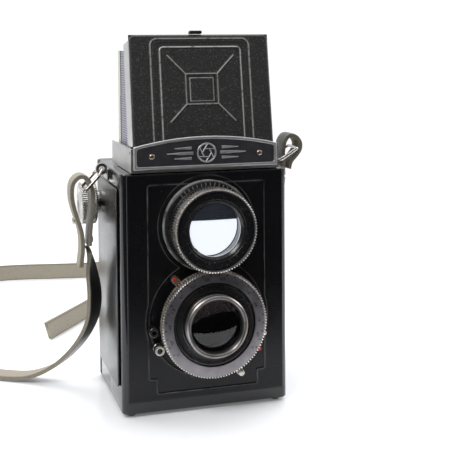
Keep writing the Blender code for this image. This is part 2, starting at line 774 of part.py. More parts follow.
def hood_panels():
    side_panel("hood_left_panel", -1, LEFT_PANEL_Z, 44.3, SIDE_PANEL_TOP)
    side_panel("hood_right_panel", 1, RIGHT_PANEL_Z, 45.3, SIDE_PANEL_TOP)
    rear = box(
        "hood_rear_panel",
        (-REAR_PANEL_HALF, at(REAR_PANEL_DEPTH - PANEL / 2), REAR_PANEL_Z),
        (REAR_PANEL_HALF, at(REAR_PANEL_DEPTH + PANEL / 2), REAR_PANEL_Z + REAR_PANEL_LENGTH),
        ALUMINIUM,
    )
    place = (0, at(REAR_PANEL_DEPTH), REAR_PANEL_Z)
    join(rear, rolled_edge("rear_edge", -REAR_PANEL_HALF, REAR_PANEL_HALF, place, "+X"))
    hang(pivot("rear_panel_hinge", place), rear)


def hood_lid():
    """The leaning front lid with side flanges, a lip, a sports finder flap and a catch button."""
    holder = pivot("lid_hinge", (0, at(LID_PIVOT[0]), LID_PIVOT[1]), LID_LEAN)
    width, low, high = FLAP
    outline = rectangle((-LID_HALF, 1.0), (LID_HALF, LID_LENGTH), (0, 0, 3, 3))
    window = rectangle((-width / 2 - GAP, low - GAP), (width / 2 + GAP, high + GAP))
    front = -ROD - LID_WALL / 2 + 0.3
    sheet = as_mesh(flat("hood_lid", [outline, window], LID_WALL, (0, front, 0), "front"))
    sheet.data.materials.append(ALUMINIUM)
    flanges = []
    for side in (-1, 1):
        span = sorted((side * LID_HALF, side * (LID_HALF - 0.8)))
        flanges.append(
            box(
                f"lid_flange_{'left' if side < 0 else 'right'}",
                (span[0], front, 3.0),
                (span[1], LID_FLANGE, LID_LENGTH - 2.4),
            )
        )
    lip = box("lid_lip", (-LID_HALF + 2.4, front, LID_LENGTH - 0.8), (LID_HALF - 2.4, 3.4, LID_LENGTH))
    hinge = rolled_edge("lid_edge", -LID_HALF, LID_HALF, (0, 0, 0), "+X")
    web = box("lid_web", (-LID_HALF, front - LID_WALL / 2, 0.0), (LID_HALF, front + LID_WALL / 2, 1.6))
    join(sheet, *flanges, lip, hinge, web)
    flap = box(
        "finder_flap",
        (-width / 2, front - LID_WALL / 2, low),
        (width / 2, front + LID_WALL / 2, high),
        ALUMINIUM,
    )
    catch = box(
        "lid_catch",
        (-4.8, -1.6, LID_LENGTH + GAP),
        (1.4, 1.6, LID_LENGTH + 1.9),
        ENAMEL,
        bevel=0.4,
        segments=1,
    )
    flap_axis = pivot("flap_hinge", (0, front, high))
    flap.location -= flap_axis.location
    flap.parent = flap_axis
    carry(holder, sheet, catch, flap_axis)


def magnifier():
    """The focusing magnifier, folded down against the inside of the left panel."""
    height = LEFT_PANEL_Z + MAGNIFIER_DROP
    x = -PANEL_X + PANEL / 2 + GAP + 1.0
    depth = 25.0
    centre = height - MAGNIFIER_ARM
    ring = [circle((at(depth), centre), MAGNIFIER_RADIUS + 1.6, 28), circle((at(depth), centre), MAGNIFIER_RADIUS, 28)]
    frame = as_mesh(flat("magnifier_frame", ring, 1.4, (x, 0, 0), "side"))
    frame.data.materials.append(ENAMEL)
    arm = box(
        "magnifier_arm",
        (x - 0.7, at(depth - 5), centre + MAGNIFIER_RADIUS + 0.7),
        (x + 0.7, at(depth + 5), height + 0.6),
    )
    join(frame, arm)
    glass = turned(
        "magnifier_lens",
        lens(MAGNIFIER_RADIUS - GAP, 0.9, 0.45, 0.45),
        (x, at(depth), centre),
        "+X",
        GLASS,
        sides=28,
    )
    hang(pivot("magnifier_hinge", (x, at(depth), height)), frame, glass)


def reflex_mirror():
    half = MIRROR_SIZE[0] / 2
    plate = box(
        "reflex_mirror",
        (-half, -MIRROR_SIZE[1] / 2, -MIRROR_THICK),
        (half, MIRROR_SIZE[1] / 2, 0),
        ALUMINIUM,
    )
    holder = pivot("mirror_seat", (0, at(MIRROR_DEPTH), VIEWING_HEIGHT), -45)
    carry(holder, plate)


def light_chamber():
    """The four-sided cone between the taking lens and the film gate, open at both ends."""
    near, far = 9.5, GATE_DEPTH - GAP
    wall = 0.6
    cone = bmesh.new()
    rings = []
    for depth, half, grow in ((near, 8.2, 0), (far, GATE / 2, 0), (far, GATE / 2, wall), (near, 8.2, wall)):
        reach = half + grow
        corners = [(-reach, -reach), (reach, -reach), (reach, reach), (-reach, reach)]
        rings.append([cone.verts.new(Vector((x, at(depth), TAKING_HEIGHT + z)) * MM) for x, z in corners])
    for first, second in zip(rings, rings[1:] + rings[:1]):
        for i in range(4):
            j = (i + 1) % 4
            cone.faces.new((first[i], first[j], second[j], second[i]))
    bmesh.ops.recalc_face_normals(cone, faces=cone.faces)
    mesh = bpy.data.meshes.new("light_chamber")
    cone.to_mesh(mesh)
    cone.free()
    add("light_chamber", mesh, ENAMEL)


def film_path():
    centre = TAKING_HEIGHT
    outline = rectangle((-36, centre - 34), (36, centre + 34))
    window = rectangle((-GATE / 2, centre - GATE / 2), (GATE / 2, centre + GATE / 2))
    gate = as_mesh(flat("film_gate", [outline, window], GATE_THICK, (0, at(GATE_DEPTH + GATE_THICK / 2), 0), "front"))
    gate.data.materials.append(ENAMEL)
    guides = [
        turned(name, disc(1.2, -31, 31), (0, at(GATE_DEPTH + 0.6), height), "+X", sides=12)
        for name, height in (("lower_guide", centre - 32.2), ("upper_guide", centre + 32.2))
    ]
    join(gate, *guides)
    half = SPOOL_LENGTH / 2
    profile = [
        (0, half - 3.2),
        (SPOOL_BORE, half - 3.2),
        (SPOOL_BORE, half),
        (SPOOL_FLANGE, half),
        (SPOOL_FLANGE, half - 1),
        (SPOOL_CORE, half - 1),
        (SPOOL_CORE, 1 - half),
        (SPOOL_FLANGE, 1 - half),
        (SPOOL_FLANGE, -half),
        (SPOOL_BORE, -half),
        (SPOOL_BORE, 3.2 - half),
        (0, 3.2 - half),
    ]
    for name, (depth, height) in (("takeup_spool", TAKEUP), ("feed_spool", FEED)):
        place = (0, at(depth), height)
        hang(pivot(name + "_axis", place), turned(name, profile, place, "+X", ENAMEL, sides=20))


def knobs():
    depth, height = TAKEUP
    place = (0, at(depth), height)
    inner = BODY_WIDTH / 2 + GAP + SIDE_COVER_THICK + RUN
    knob = turned(
        "winding_knob",
        [
            (0, KNOB_OUTER - 0.6),
            (7.6, KNOB_OUTER - 0.6),
            (8.2, KNOB_OUTER),
            (KNOB_RADIUS - 0.5, KNOB_OUTER),
            (KNOB_RADIUS, KNOB_OUTER - 0.5),
            (KNOB_RADIUS, inner + 2.2),
            (6.0, inner + 1.4),
            (6.0, inner),
            (SHAFT, inner),
            (SHAFT, SPOOL_LENGTH / 2 - 2.5),
            (0, SPOOL_LENGTH / 2 - 2.5),
        ],
        place,
        "-X",
        CHROME,
        sides=32,
    )
    hang(pivot("winding_axis", place), knob)
    bare = BODY_WIDTH / 2 + RUN
    for name, (depth, height), low, thick in (
        ("takeup_spool_knob", TAKEUP, inner, SPOOL_KNOB_THICK),
        ("feed_spool_knob", FEED, bare, FEED_KNOB_THICK),
    ):
        place = (0, at(depth), height)
        high = low + thick
        profile = [
            (0, high),
            (SPOOL_KNOB_RADIUS - 0.5, high),
            (SPOOL_KNOB_RADIUS, high - 0.5),
            (SPOOL_KNOB_RADIUS, low),
            (SHAFT, low),
            (SHAFT, SPOOL_LENGTH / 2 - 2.5),
            (0, SPOOL_LENGTH / 2 - 2.5),
        ]
        hang(pivot(name + "_axis", place), turned(name, profile, place, "+X", CHROME, sides=20))


EAR = (LUG_X + 0.7, LUG_DEPTH, LUG_HEIGHT + 4.0)  # half width, depth and height of a strap lug's eye
RING_REACH = 13.5
RING_SHOULDER = 3.4  # where the wire has spread to its full width, short of the strap
LEFT_RING_ANGLE = 227  # degrees from +X, seen from the front
RIGHT_RING_ANGLE = 32


def ribbon(name, route, width, thick, material, per_span=4):
    """A strap along a smooth curve through the route's points: (x, depth, height, width direction)."""
    count = len(route)
    places = [Vector((x, at(depth), z)) for x, depth, z, _ in route]
    across = [Vector(direction).normalized() for _, _, _, direction in route]

    def smooth(values, i, t):
        a, b, c, d = (values[max(0, min(count - 1, i + k))] for k in (-1, 0, 1, 2))
        return 0.5 * (2 * b + (c - a) * t + (2 * a - 5 * b + 4 * c - d) * t**2 + (3 * b - a - 3 * c + d) * t**3)

    steps = [(i, k / per_span) for i in range(count - 1) for k in range(per_span)] + [(count - 2, 1.0)]
    line = [smooth(places, i, t) for i, t in steps]
    shape = bmesh.new()
    rings = []
    for n, (i, t) in enumerate(steps):
        along = (line[min(n + 1, len(line) - 1)] - line[max(n - 1, 0)]).normalized()
        side = smooth(across, i, t)
        side = (side - along * side.dot(along)).normalized() * (width / 2)
        face = along.cross(side).normalized() * (thick / 2)
        corners = (side + face, face - side, -side - face, side - face)
        rings.append([shape.verts.new((line[n] + corner) * MM) for corner in corners])
    for first, second in zip(rings, rings[1:]):
        for i in range(4):
            j = (i + 1) % 4
            shape.faces.new((first[i], first[j], second[j], second[i]))
    shape.faces.new(rings[0][::-1])
    shape.faces.new(rings[-1])
    bmesh.ops.recalc_face_normals(shape, faces=shape.faces)
    mesh = bpy.data.meshes.new(name)
    shape.to_mesh(mesh)
    shape.free()
    return add(name, mesh, material)


def strap_fitting(side_name, side, angle):
    """A lug with its eye, and the wire ring that swings in it."""
    x, depth, height = EAR
    base = box(
        f"{side_name}_strap_lug",
        (*sorted((side * (BODY_WIDTH / 2 + GAP), side * (LUG_X - 1.2)))[:1], at(depth - 5), LUG_HEIGHT - 1),
        (*sorted((side * (BODY_WIDTH / 2 + GAP), side * (LUG_X - 1.2)))[1:], at(depth + 5), LUG_HEIGHT + 4.4),
        ALUMINIUM,
        bevel=0.4,
        segments=1,
    )
    eye = turned(side_name + "_eye", tube(1.4, 2.8, -1.2, 1.2), (side * x, at(depth), height), "+Y", sides=16)
    join(base, eye)
    a = math.radians(angle)
    out = Vector((math.cos(a), 0, math.sin(a)))
    wide = STRAP_WIDTH / 2 + RING_WIRE + 0.7
    corners = [
        (0, -2.9),
        (0, 2.9),
        (RING_SHOULDER, wide),
        (RING_REACH, wide),
        (RING_REACH, -wide),
        (RING_SHOULDER, -wide),
    ]
    rounding = 1.4
    points = []
    for i, corner in enumerate(corners):
        here = Vector(corner)
        before = (Vector(corners[i - 1]) - here).normalized()
        after = (Vector(corners[(i + 1) % len(corners)]) - here).normalized()
        start, end = here + before * rounding, here + after * rounding
        for k in range(4):
            t = k / 3
            points.append(start * (1 - t) ** 2 + here * 2 * t * (1 - t) + end * t**2)
    curve = bpy.data.curves.new(f"{side_name}_strap_ring", "CURVE")
    curve.dimensions = "3D"
    curve.bevel_depth = RING_WIRE * MM
    curve.bevel_resolution = 1
    spline = curve.splines.new("POLY")
    spline.points.add(len(points) - 1)
    for point, (reach, across) in zip(spline.points, points):
        place = out * reach + Vector((0, across, 0))
        point.co = (*(place * MM), 1)
    spline.use_cyclic_u = True
    ring = add(f"{side_name}_strap_ring", curve, CHROME)
    holder = pivot(f"{side_name}_ring_axis", (side * x, at(depth), height))
    carry(holder, ring)
    return holder


ALONG_Y = (0, 1, 0)
ALONG_X = (1, 0, 0)
ON_EDGE = (0, 0, 1)

LEFT_LOOP = [
    (-50.7, 33, 72, ALONG_Y),
    (-50.2, 33, 80, ALONG_Y),
    (-49.2, 33, 90, ALONG_Y),
    (-49.0, 33, 98, ALONG_Y),
    (-51.2, 33, 104, ALONG_Y),
    (-55.0, 33, 105.5, ALONG_Y),
    (-58.4, 33, 102, ALONG_Y),
    (-58.8, 33, 95, ALONG_Y),
    (-57.0, 33, 87, ALONG_Y),
    (-54.6, 33, 79, ALONG_Y),
    (-54.0, 33, 71, ALONG_Y),
    (-55.0, 33, 62, ALONG_Y),
]
RIGHT_LOOP = [
    (48.4, 33, 102, ALONG_Y),
    (48.3, 33, 108, ALONG_Y),
    (48.4, 33, 114, ALONG_Y),
    (49.3, 33, 119.0, ALONG_Y),
    (51.8, 33, 121.8, ALONG_Y),
    (55.2, 33, 121.2, ALONG_Y),
    (57.5, 33, 118.2, ALONG_Y),
    (57.3, 33, 114.6, ALONG_Y),
    (55.0, 33, 111.4, ALONG_Y),
    (52.5, 33, 108.6, ALONG_Y),
    (51.5, 33, 105.0, ALONG_Y),
]
LONG_STRAP = [
    (-50.6, 33.5, 69.3, ALONG_Y),
    (-49.2, 35.4, 59.5, (0.45, 0.9, 0)),
    (-47.3, 37.8, 46.8, (0.62, 0.78, 0)),
    (-47.5, 41.0, 35.1, (0.62, 0.78, 0)),
    (-50.7, 46.0, 24.4, (0.6, 0.8, 0)),
    (-56.5, 54.2, 13.5, (0.6, 0.8, 0)),
    (-65.0, 63.0, 4.0, (0.58, 0.82, 0)),
    (-75.8, 70.2, -1.5, (0.5, 0.86, 0)),
    (-87.1, 77.4, -2.8, (0.6, 0.8, 0)),
    (-99.4, 87.6, -2.8, (0.72, 0.7, 0)),
    (-109.6, 104.0, -2.3, (0.9, 0.4, 0.1)),
    (-114.8, 126.6, -0.9, (0.93, 0.1, 0.38)),
    (-115.8, 152.3, 0.5, (0.7, 0, 0.72)),
    (-114.8, 178.9, 1.7, (0.3, 0, 0.95)),
    (-111.7, 206.6, 1.8, ON_EDGE),
    (-107.6, 234.3, 1.8, ON_EDGE),
    (-102.5, 261.0, 1.8, ON_EDGE),
    (-94.2, 282.5, 1.8, ON_EDGE),
    (-78.9, 293.8, 1.8, ON_EDGE),
    (-60.4, 293.8, 1.8, ON_EDGE),
    (-39.9, 289.7, 1.8, ON_EDGE),
    (-17.3, 285.6, 1.8, ON_EDGE),
    (3.2, 283.6, 1.8, ON_EDGE),
    (18.6, 279.5, 1.8, ON_EDGE),
    (26.3, 269.2, 1.8, ON_EDGE),
    (24.8, 256.9, 1.8, ON_EDGE),
    (17.6, 243.6, 1.8, ON_EDGE),
    (8.3, 230.2, 1.8, ON_EDGE),
    (-1.9, 216.9, 1.8, ON_EDGE),
    (-15.3, 198.4, 1.8, ON_EDGE),
    (-29.6, 177.9, 1.8, ON_EDGE),
    (-44.0, 157.4, 1.8, ON_EDGE),
    (-59.4, 135.8, 1.8, ON_EDGE),
]
SHORT_STRAP = [
    (48.4, 33, 99.4, ALONG_Y),
    (48.4, 35.5, 90, (0.1, 1, 0)),
    (48.6, 40.5, 76, (0.45, 0.9, 0)),
    (50.3, 47.5, 59.5, (0.7, 0.7, 0.1)),
    (52.5, 59.0, 41.5, (0.9, 0.4, 0)),
    (54.4, 70.5, 24.4, ALONG_X),
    (55.8, 82.4, 10.3, ALONG_X),
    (56.4, 94.8, 1.8, ALONG_X),
    (56.4, 108.1, -1.6, ALONG_X),
    (55.7, 123.5, -2.5, (1, 0.1, 0)),
    (53.1, 139.9, -1.4, (0.95, 0.3, 0.25)),
    (46.3, 156.4, 0.5, (0.6, 0.5, 0.8)),
    (37.1, 169.7, 1.6, ON_EDGE),
    (27.8, 183.0, 1.8, ON_EDGE),
    (22.2, 198.4, 1.8, ON_EDGE),
    (20.6, 213.8, 1.8, ON_EDGE),
    (21.7, 226.1, 1.8, ON_EDGE),
]
BUCKLE = (19.8, 236.9, 3.8)


def strap():
    left = strap_fitting("left", -1, LEFT_RING_ANGLE)
    right = strap_fitting("right", 1, RIGHT_RING_ANGLE)
    hang(left, ribbon("left_strap_loop", LEFT_LOOP, STRAP_WIDTH, STRAP_THICK, STRAP_LEATHER, 2))
    hang(right, ribbon("right_strap_loop", RIGHT_LOOP, STRAP_WIDTH, STRAP_THICK, STRAP_LEATHER, 2))
    ribbon("long_strap", LONG_STRAP, STRAP_WIDTH, STRAP_THICK, STRAP_LEATHER, 2)
    ribbon("short_strap", SHORT_STRAP, STRAP_WIDTH, STRAP_THICK, STRAP_LEATHER, 2)
    # The long strap runs through the buckle, so the buckle's frame stands on edge round it.
    outline = rectangle((-7.4, -7.6), (7.4, 7.6), (1.5,) * 4)
    window = rectangle((-5.4, -6.2), (5.4, 6.2), (0.8,) * 4)
    buckle = flat("strap_buckle", [outline, window], 1.6, (0, 0, 0), "front", CHROME)
    buckle.location = Vector((BUCKLE[0], at(BUCKLE[1]), BUCKLE[2])) * MM
    buckle.rotation_euler.z = math.radians(58)


body_casting()
front_plate()
side_covers()
underside()
back()
viewing_lens()
taking_lens()
shutter_controls()
nameplate()
hood_base()
hood_panels()
hood_lid()
magnifier()
reflex_mirror()
light_chamber()
film_path()
knobs()
strap()

# Everything so far stands on the datum; the table is the world's z = 0.
for item in bpy.data.objects:
    if item.parent is None:
        item.location.z += STAND * MM
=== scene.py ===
"""The looks of a twin lens reflex camera: enamel, leather grain, chrome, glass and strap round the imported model.

Metres throughout. X is to the right seen from the front, Y runs backwards and Z up; depths are counted back
from the front plate's face and reaches forward from it. Sizes are written in millimetres times MM.
"""

import json
import math

import bmesh
import bpy
import numpy as np
from mathutils import Matrix, Vector

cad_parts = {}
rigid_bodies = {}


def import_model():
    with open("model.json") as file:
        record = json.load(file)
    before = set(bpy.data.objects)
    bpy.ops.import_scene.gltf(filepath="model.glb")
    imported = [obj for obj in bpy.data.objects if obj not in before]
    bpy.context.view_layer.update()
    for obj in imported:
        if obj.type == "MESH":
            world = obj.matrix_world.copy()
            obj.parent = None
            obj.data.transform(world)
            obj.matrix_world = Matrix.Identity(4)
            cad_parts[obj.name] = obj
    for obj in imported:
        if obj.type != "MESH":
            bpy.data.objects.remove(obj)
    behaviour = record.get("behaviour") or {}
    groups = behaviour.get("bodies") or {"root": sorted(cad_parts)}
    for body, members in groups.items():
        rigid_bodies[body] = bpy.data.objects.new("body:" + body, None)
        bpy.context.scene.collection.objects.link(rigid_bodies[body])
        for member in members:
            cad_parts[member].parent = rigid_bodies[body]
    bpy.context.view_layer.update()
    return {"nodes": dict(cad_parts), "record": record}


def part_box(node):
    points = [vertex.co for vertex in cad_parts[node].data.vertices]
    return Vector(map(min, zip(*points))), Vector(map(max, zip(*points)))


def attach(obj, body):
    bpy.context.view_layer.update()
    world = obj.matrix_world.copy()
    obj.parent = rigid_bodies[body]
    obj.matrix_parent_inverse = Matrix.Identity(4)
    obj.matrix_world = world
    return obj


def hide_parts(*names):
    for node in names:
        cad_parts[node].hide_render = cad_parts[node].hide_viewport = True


MM = 0.001
for old in list(bpy.data.objects):
    bpy.data.objects.remove(old, do_unlink=True)
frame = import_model()
STAND = 4.4 * MM  # heights below are from a datum this far above the table: mesh_piece() lifts each piece by it
joint_at = {
    joint["name"]: np.array(joint["pos_m"]) - (0, 0, STAND)
    for joint in frame["record"]["behaviour"]["joints"]
    if "pos_m" in joint
}


def cad_span(node):
    """The two corners of a CAD node's box, counted from the datum."""
    return [corner - Vector((0, 0, STAND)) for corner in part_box(node)]


# ---------------------------------------------------------------------------
# The camera that looks at the object: a long lens a little above the lenses, left of the middle, held almost
# level. The table and the backdrop are white, the room in front of the object is dim.
FRONT_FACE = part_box("front_plate")[0].y
EYE = Vector((-0.12405, -0.48742, 0.17445))
YAW, PITCH, ROLL = (math.radians(angle) for angle in (17.18, 2.42, -0.37))
FOCAL_SHARE = 2.1633  # focal length over picture width

look = Vector((math.sin(YAW) * math.cos(PITCH), math.cos(YAW) * math.cos(PITCH), -math.sin(PITCH)))
level = Vector((math.cos(YAW), -math.sin(YAW), 0))
above = level.cross(look)
right = level * math.cos(ROLL) + above * math.sin(ROLL)
up = above * math.cos(ROLL) - level * math.sin(ROLL)
eye = bpy.data.cameras.new("eye")
eye.sensor_width = 36
eye.lens = FOCAL_SHARE * 36
eye.shift_x = -0.0119
eye.shift_y = -0.3198
eye.clip_start = 0.01
viewer = bpy.data.objects.new("eye", eye)
bpy.context.scene.collection.objects.link(viewer)
turned_to = Matrix((right, up, -look)).transposed().to_4x4()
turned_to.translation = EYE
viewer.matrix_world = turned_to
bpy.context.scene.camera = viewer
bpy.context.scene.view_settings.view_transform = "Standard"


def soft_light(name, place, target, size, power, colour=(1, 1, 1)):
    """A square lamp at a place, turned to face its target."""
    lamp = bpy.data.lights.new(name, "AREA")
    lamp.size = size
    lamp.energy = power
    lamp.color = colour
    item = bpy.data.objects.new(name, lamp)
    item.location = place
    item.rotation_euler = (Vector(target) - Vector(place)).to_track_quat("-Z", "Y").to_euler()
    bpy.context.scene.collection.objects.link(item)
    return item


soft_light("key_light", (-0.75, -0.55, 0.95), (0, 0, 0.08), 0.55, 9)
soft_light("top_light", (0.1, 0.35, 1.1), (0, 0, 0.08), 0.9, 9)
soft_light("right_light", (0.85, -0.1, 0.5), (0, 0, 0.08), 0.4, 2.5)


class Wire:
    """A socket of a node tree. Arithmetic on it adds the Math nodes that work the expression out."""

    def __init__(self, tree, socket):
        self.tree = tree
        self.socket = socket

    def math(self, operation, *values):
        node = self.tree.nodes.new("ShaderNodeMath")
        node.operation = operation
        for socket, value in zip(node.inputs, values):
            plug(self.tree, socket, value)
        return Wire(self.tree, node.outputs[0])

    def __add__(self, other):
        return self.math("ADD", self, other)

    __radd__ = __add__

    def __mul__(self, other):
        return self.math("MULTIPLY", self, other)

    __rmul__ = __mul__

    def __sub__(self, other):
        return self.math("SUBTRACT", self, other)

    def __rsub__(self, other):
        return self.math("SUBTRACT", other, self)

    def __truediv__(self, other):
        return self.math("DIVIDE", self, other)

    def __pow__(self, other):
        return self.math("POWER", self, other)

    def __abs__(self):
        return self.math("ABSOLUTE", self)

    def above(self, edge, soft):
        """0 below the edge and 1 above it, with a soft step as wide as soft."""
        share = (self - (edge - soft / 2)) / soft
        return share.math("MINIMUM", share.math("MAXIMUM", share, 0), 1)

    def beside_steps(self):
        """How far the value lies from halfway between two whole numbers, 0 to 0.5."""
        return abs(self.math("FRACT", self) - 0.5)

    def both(self, other):
        return self.math("MINIMUM", self, other)

    def either(self, other):
        return self.math("MAXIMUM", self, other)


def plug(tree, socket, value):
    """Links a wire to the socket, or sets the socket's own value."""
    if isinstance(value, Wire):
        tree.links.new(value.socket, socket)
    elif socket.type == "RGBA":
        socket.default_value = (*value, 1)[:4]
    else:
        socket.default_value = value


class Finish:
    """A surface finish: one Principled shader, and one method that adds any other node."""

    def __init__(self, name, sockets):
        self.material = bpy.data.materials.new(name)
        self.material.use_nodes = True
        self.tree = self.material.node_tree
        self.shader = self.tree.nodes["Principled BSDF"]
        self.set(sockets)

    def set(self, sockets):
        for name, value in sockets.items():
            plug(self.tree, self.shader.inputs[name], value)

    def node(self, kind, settings=(), values=(), output=0):
        node = self.tree.nodes.new("ShaderNode" + kind)
        for name, value in dict(settings).items():
            setattr(node, name, value)
        for name, value in dict(values).items():
            plug(self.tree, node.inputs[name], value)
        return Wire(self.tree, node.outputs[output])

    def place(self, centre=(0, 0, 0), turn=(0, 0, 0)):
        """Where a point of the surface is, counted from a centre and turned."""
        here = self.node("TexCoord", output="Object")
        values = {"Vector": here, "Location": (-centre[0], -centre[1], -centre[2] - STAND)}
        moved = self.node("Mapping", {}, values)
        return self.node("Mapping", {}, {"Vector": moved, "Rotation": turn}) if any(turn) else moved

    def axes(self, point):
        return [self.node("SeparateXYZ", {}, {"Vector": point}, output) for output in range(3)]

    def from_axis(self, point):
        """How far a place is from the Y axis through its centre."""
        across, _, upward = self.axes(point)
        return across.math("SQRT", across * across + upward * upward)

    def bearing(self, point):
        """The angle of a place round the Y axis through its centre, 0 at the top."""
        across, _, upward = self.axes(point)
        return upward.math("ARCTAN2", across, upward)

    def noise(self, point, per_metre, detail=2.0, roughness=0.5):
        values = {"Vector": point, "Scale": per_metre, "Detail": detail, "Roughness": roughness}
        return self.node("TexNoise", {}, values)

    def cells(self, point, per_metre, feature="F1"):
        return self.node("TexVoronoi", {"feature": feature}, {"Vector": point, "Scale": per_metre})

    def blend(self, share, first, second):
        """The first colour where share is 0, the second where it is 1."""
        return self.node("Mix", {"data_type": "RGBA"}, {0: share, 6: first, 7: second}, 2)

    def attribute(self, name, output="Fac"):
        return self.node("Attribute", {"attribute_name": name}, {}, output)

    def relief(self, height, depth, strength=1.0, under=None):
        """A bumped normal, which may lie on top of another one."""
        values = {"Height": height, "Distance": depth, "Strength": strength}
        if under:
            values["Normal"] = under
        return self.node("Bump", {}, values)


# The backdrop is white to the eye, but what the polished enamel mirrors is brighter behind and above than
# in front, as in a room whose only lights stand round the table.
world = bpy.data.worlds.new("studio")
bpy.context.scene.world = world
world.use_nodes = True
sky = world.node_tree
sky.nodes.clear()


def sky_node(kind, values, output=0, **settings):
    node = sky.nodes.new("ShaderNode" + kind)
    for name, value in settings.items():
        setattr(node, name, value)
    for name, value in values.items():
        plug(sky, node.inputs[name], value)
    return Wire(sky, node.outputs[output])


bearing = sky_node("TexCoord", {}, "Generated")
_, to_back, to_top = (sky_node("SeparateXYZ", {"Vector": bearing}, i) for i in range(3))
room = to_back.above(0.05, 1.1) * 0.85 + to_top.above(0.55, 0.7) * 0.5 + 0.03
glow = sky_node("Background", {"Strength": room, "Color": (0.97, 0.98, 1.0)})
card = sky_node("Background", {"Strength": 1.05, "Color": (1, 1, 1)})
eye_ray = sky_node("LightPath", {}, "Is Camera Ray")
both = sky_node("MixShader", {0: eye_ray, 1: glow, 2: card})
sky_out = sky.nodes.new("ShaderNodeOutputWorld")
sky.links.new(both.socket, sky_out.inputs["Surface"])


# ---------------------------------------------------------------------------
# The white table that the object stands on: a flat lacquered sheet.
def grid_faces(rows, columns, start=0, wrap_rows=False, wrap_columns=False):
    """The quads between neighbouring points of a grid, as an array of point numbers."""
    index = start + np.arange(rows * columns).reshape(rows, columns)
    if wrap_rows:
        index = np.vstack([index, index[:1]])
    if wrap_columns:
        index = np.hstack([index, index[:, :1]])
    quads = np.stack([index[:-1, :-1], index[:-1, 1:], index[1:, 1:], index[1:, :-1]], axis=-1)
    return quads.reshape(-1, 4)


def mesh_piece(name, points, faces, sharp=35, attributes=()):
    """A mesh object at the origin, lifted onto its stand; doubled points are merged, faces turned outwards."""
    mesh = bpy.data.meshes.new(name)
    mesh.from_pydata(np.asarray(points, float).reshape(-1, 3) + (0, 0, STAND), [], np.asarray(faces).tolist())
    for label, values in dict(attributes).items():
        layer = mesh.attributes.new(label, "FLOAT", "POINT")
        layer.data.foreach_set("value", np.asarray(values, np.float32).ravel())
    shape = bmesh.new()
    shape.from_mesh(mesh)
    bmesh.ops.remove_doubles(shape, verts=shape.verts, dist=0.000002)
    bmesh.ops.dissolve_degenerate(shape, dist=0.0000005, edges=shape.edges)
    bmesh.ops.recalc_face_normals(shape, faces=shape.faces)
    shape.to_mesh(mesh)
    shape.free()
    mesh.shade_smooth()
    if sharp:
        mesh.set_sharp_from_angle(angle=math.radians(sharp))
    item = bpy.data.objects.new(name, mesh)
    bpy.context.scene.collection.objects.link(item)
    return item


def patches(name, grids, sharp=35, attributes=()):
    """One piece sewn from several grids of points, each of shape (rows, columns, 3)."""
    points, faces, start = [], [], 0
    for grid in grids:
        rows, columns = grid.shape[:2]
        points.append(grid.reshape(-1, 3))
        faces.append(grid_faces(rows, columns, start))
        start += rows * columns
    return mesh_piece(name, np.vstack(points), np.vstack(faces), sharp, attributes)


TABLE_FRONT, TABLE_BACK, TABLE_HALF = -0.14, 0.55, 0.9
across, depths = np.meshgrid(np.linspace(-TABLE_HALF, TABLE_HALF, 25), np.linspace(TABLE_FRONT, TABLE_BACK, 25))
table = patches("table", [np.stack([across, depths, np.full_like(across, -STAND)], -1)])
lacquer = Finish("white_lacquer", {"Base Color": (0.9, 0.91, 0.93), "Roughness": 0.22})
lacquer.set({"Emission Color": (1, 1, 1), "Emission Strength": 0.13})
table.data.materials.append(lacquer.material)


# ---------------------------------------------------------------------------
# Body casting: a moulded box with rounded upright corners, open at the back, in smooth black enamel that
# mirrors the room. Four turned feet stand under it and two hinge knuckles on its rear top edge.
def fitted(item, body, slot, finish, *nodes):
    """Puts a finished piece on its body, in place of the CAD nodes named. The slot argument is not used."""
    item.data.materials.clear()
    item.data.materials.append(finish.material)
    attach(item, body)
    if nodes:
        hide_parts(*nodes)
    return item


def keep(finish, *nodes):
    """Gives CAD nodes whose shape is right this finish."""
    for node in nodes:
        item = frame["nodes"][node]
        item.data.materials.clear()
        item.data.materials.append(finish.material)


CASTING_LOW, CASTING_HIGH = cad_span("body_shell")
BODY_HALF = CASTING_HIGH.x
BODY_BOTTOM, BODY_TOP = cad_span("back_cover")[0].z, 109.4 * MM
CORNER = 3.2 * MM
CASTING_BACK = FRONT_FACE + 60 * MM
EDGE_ROUND = 0.9 * MM
CASTING_WALL = 1.5 * MM
TAKING_AXIS = joint_at["taking_focus"]
VIEWING_AXIS = joint_at["viewing_focus"]

enamel = Finish("black_enamel", {"Base Color": (0.008, 0.008, 0.009), "Roughness": 0.16})
enamel_place = enamel.place()
orange_peel = enamel.noise(enamel_place, 450, 3)
haze = enamel.noise(enamel_place, 60, 4)
enamel.set({"Roughness": haze * 0.16 + 0.1, "Normal": enamel.relief(orange_peel, 0.00003, 0.35)})
enamel.set({"Coat Weight": 0.3, "Coat Roughness": 0.08})


def upright_path(inset, front, back, half=BODY_HALF, corner=CORNER, steps=8):
    """The left half of a box's outline: straight along the side, round the upright corner, half the front."""
    turn = np.linspace(math.pi, 1.5 * math.pi, steps)
    radius = corner - inset
    curve = np.stack([np.cos(turn), np.sin(turn)], -1) * radius + (-half + corner, front + corner)
    side = [(-half + inset, back), (-half + inset, (back + front) / 2)]
    middle = [(-half * 0.5, front + inset), (0, front + inset)]
    return np.vstack([side, curve, middle])


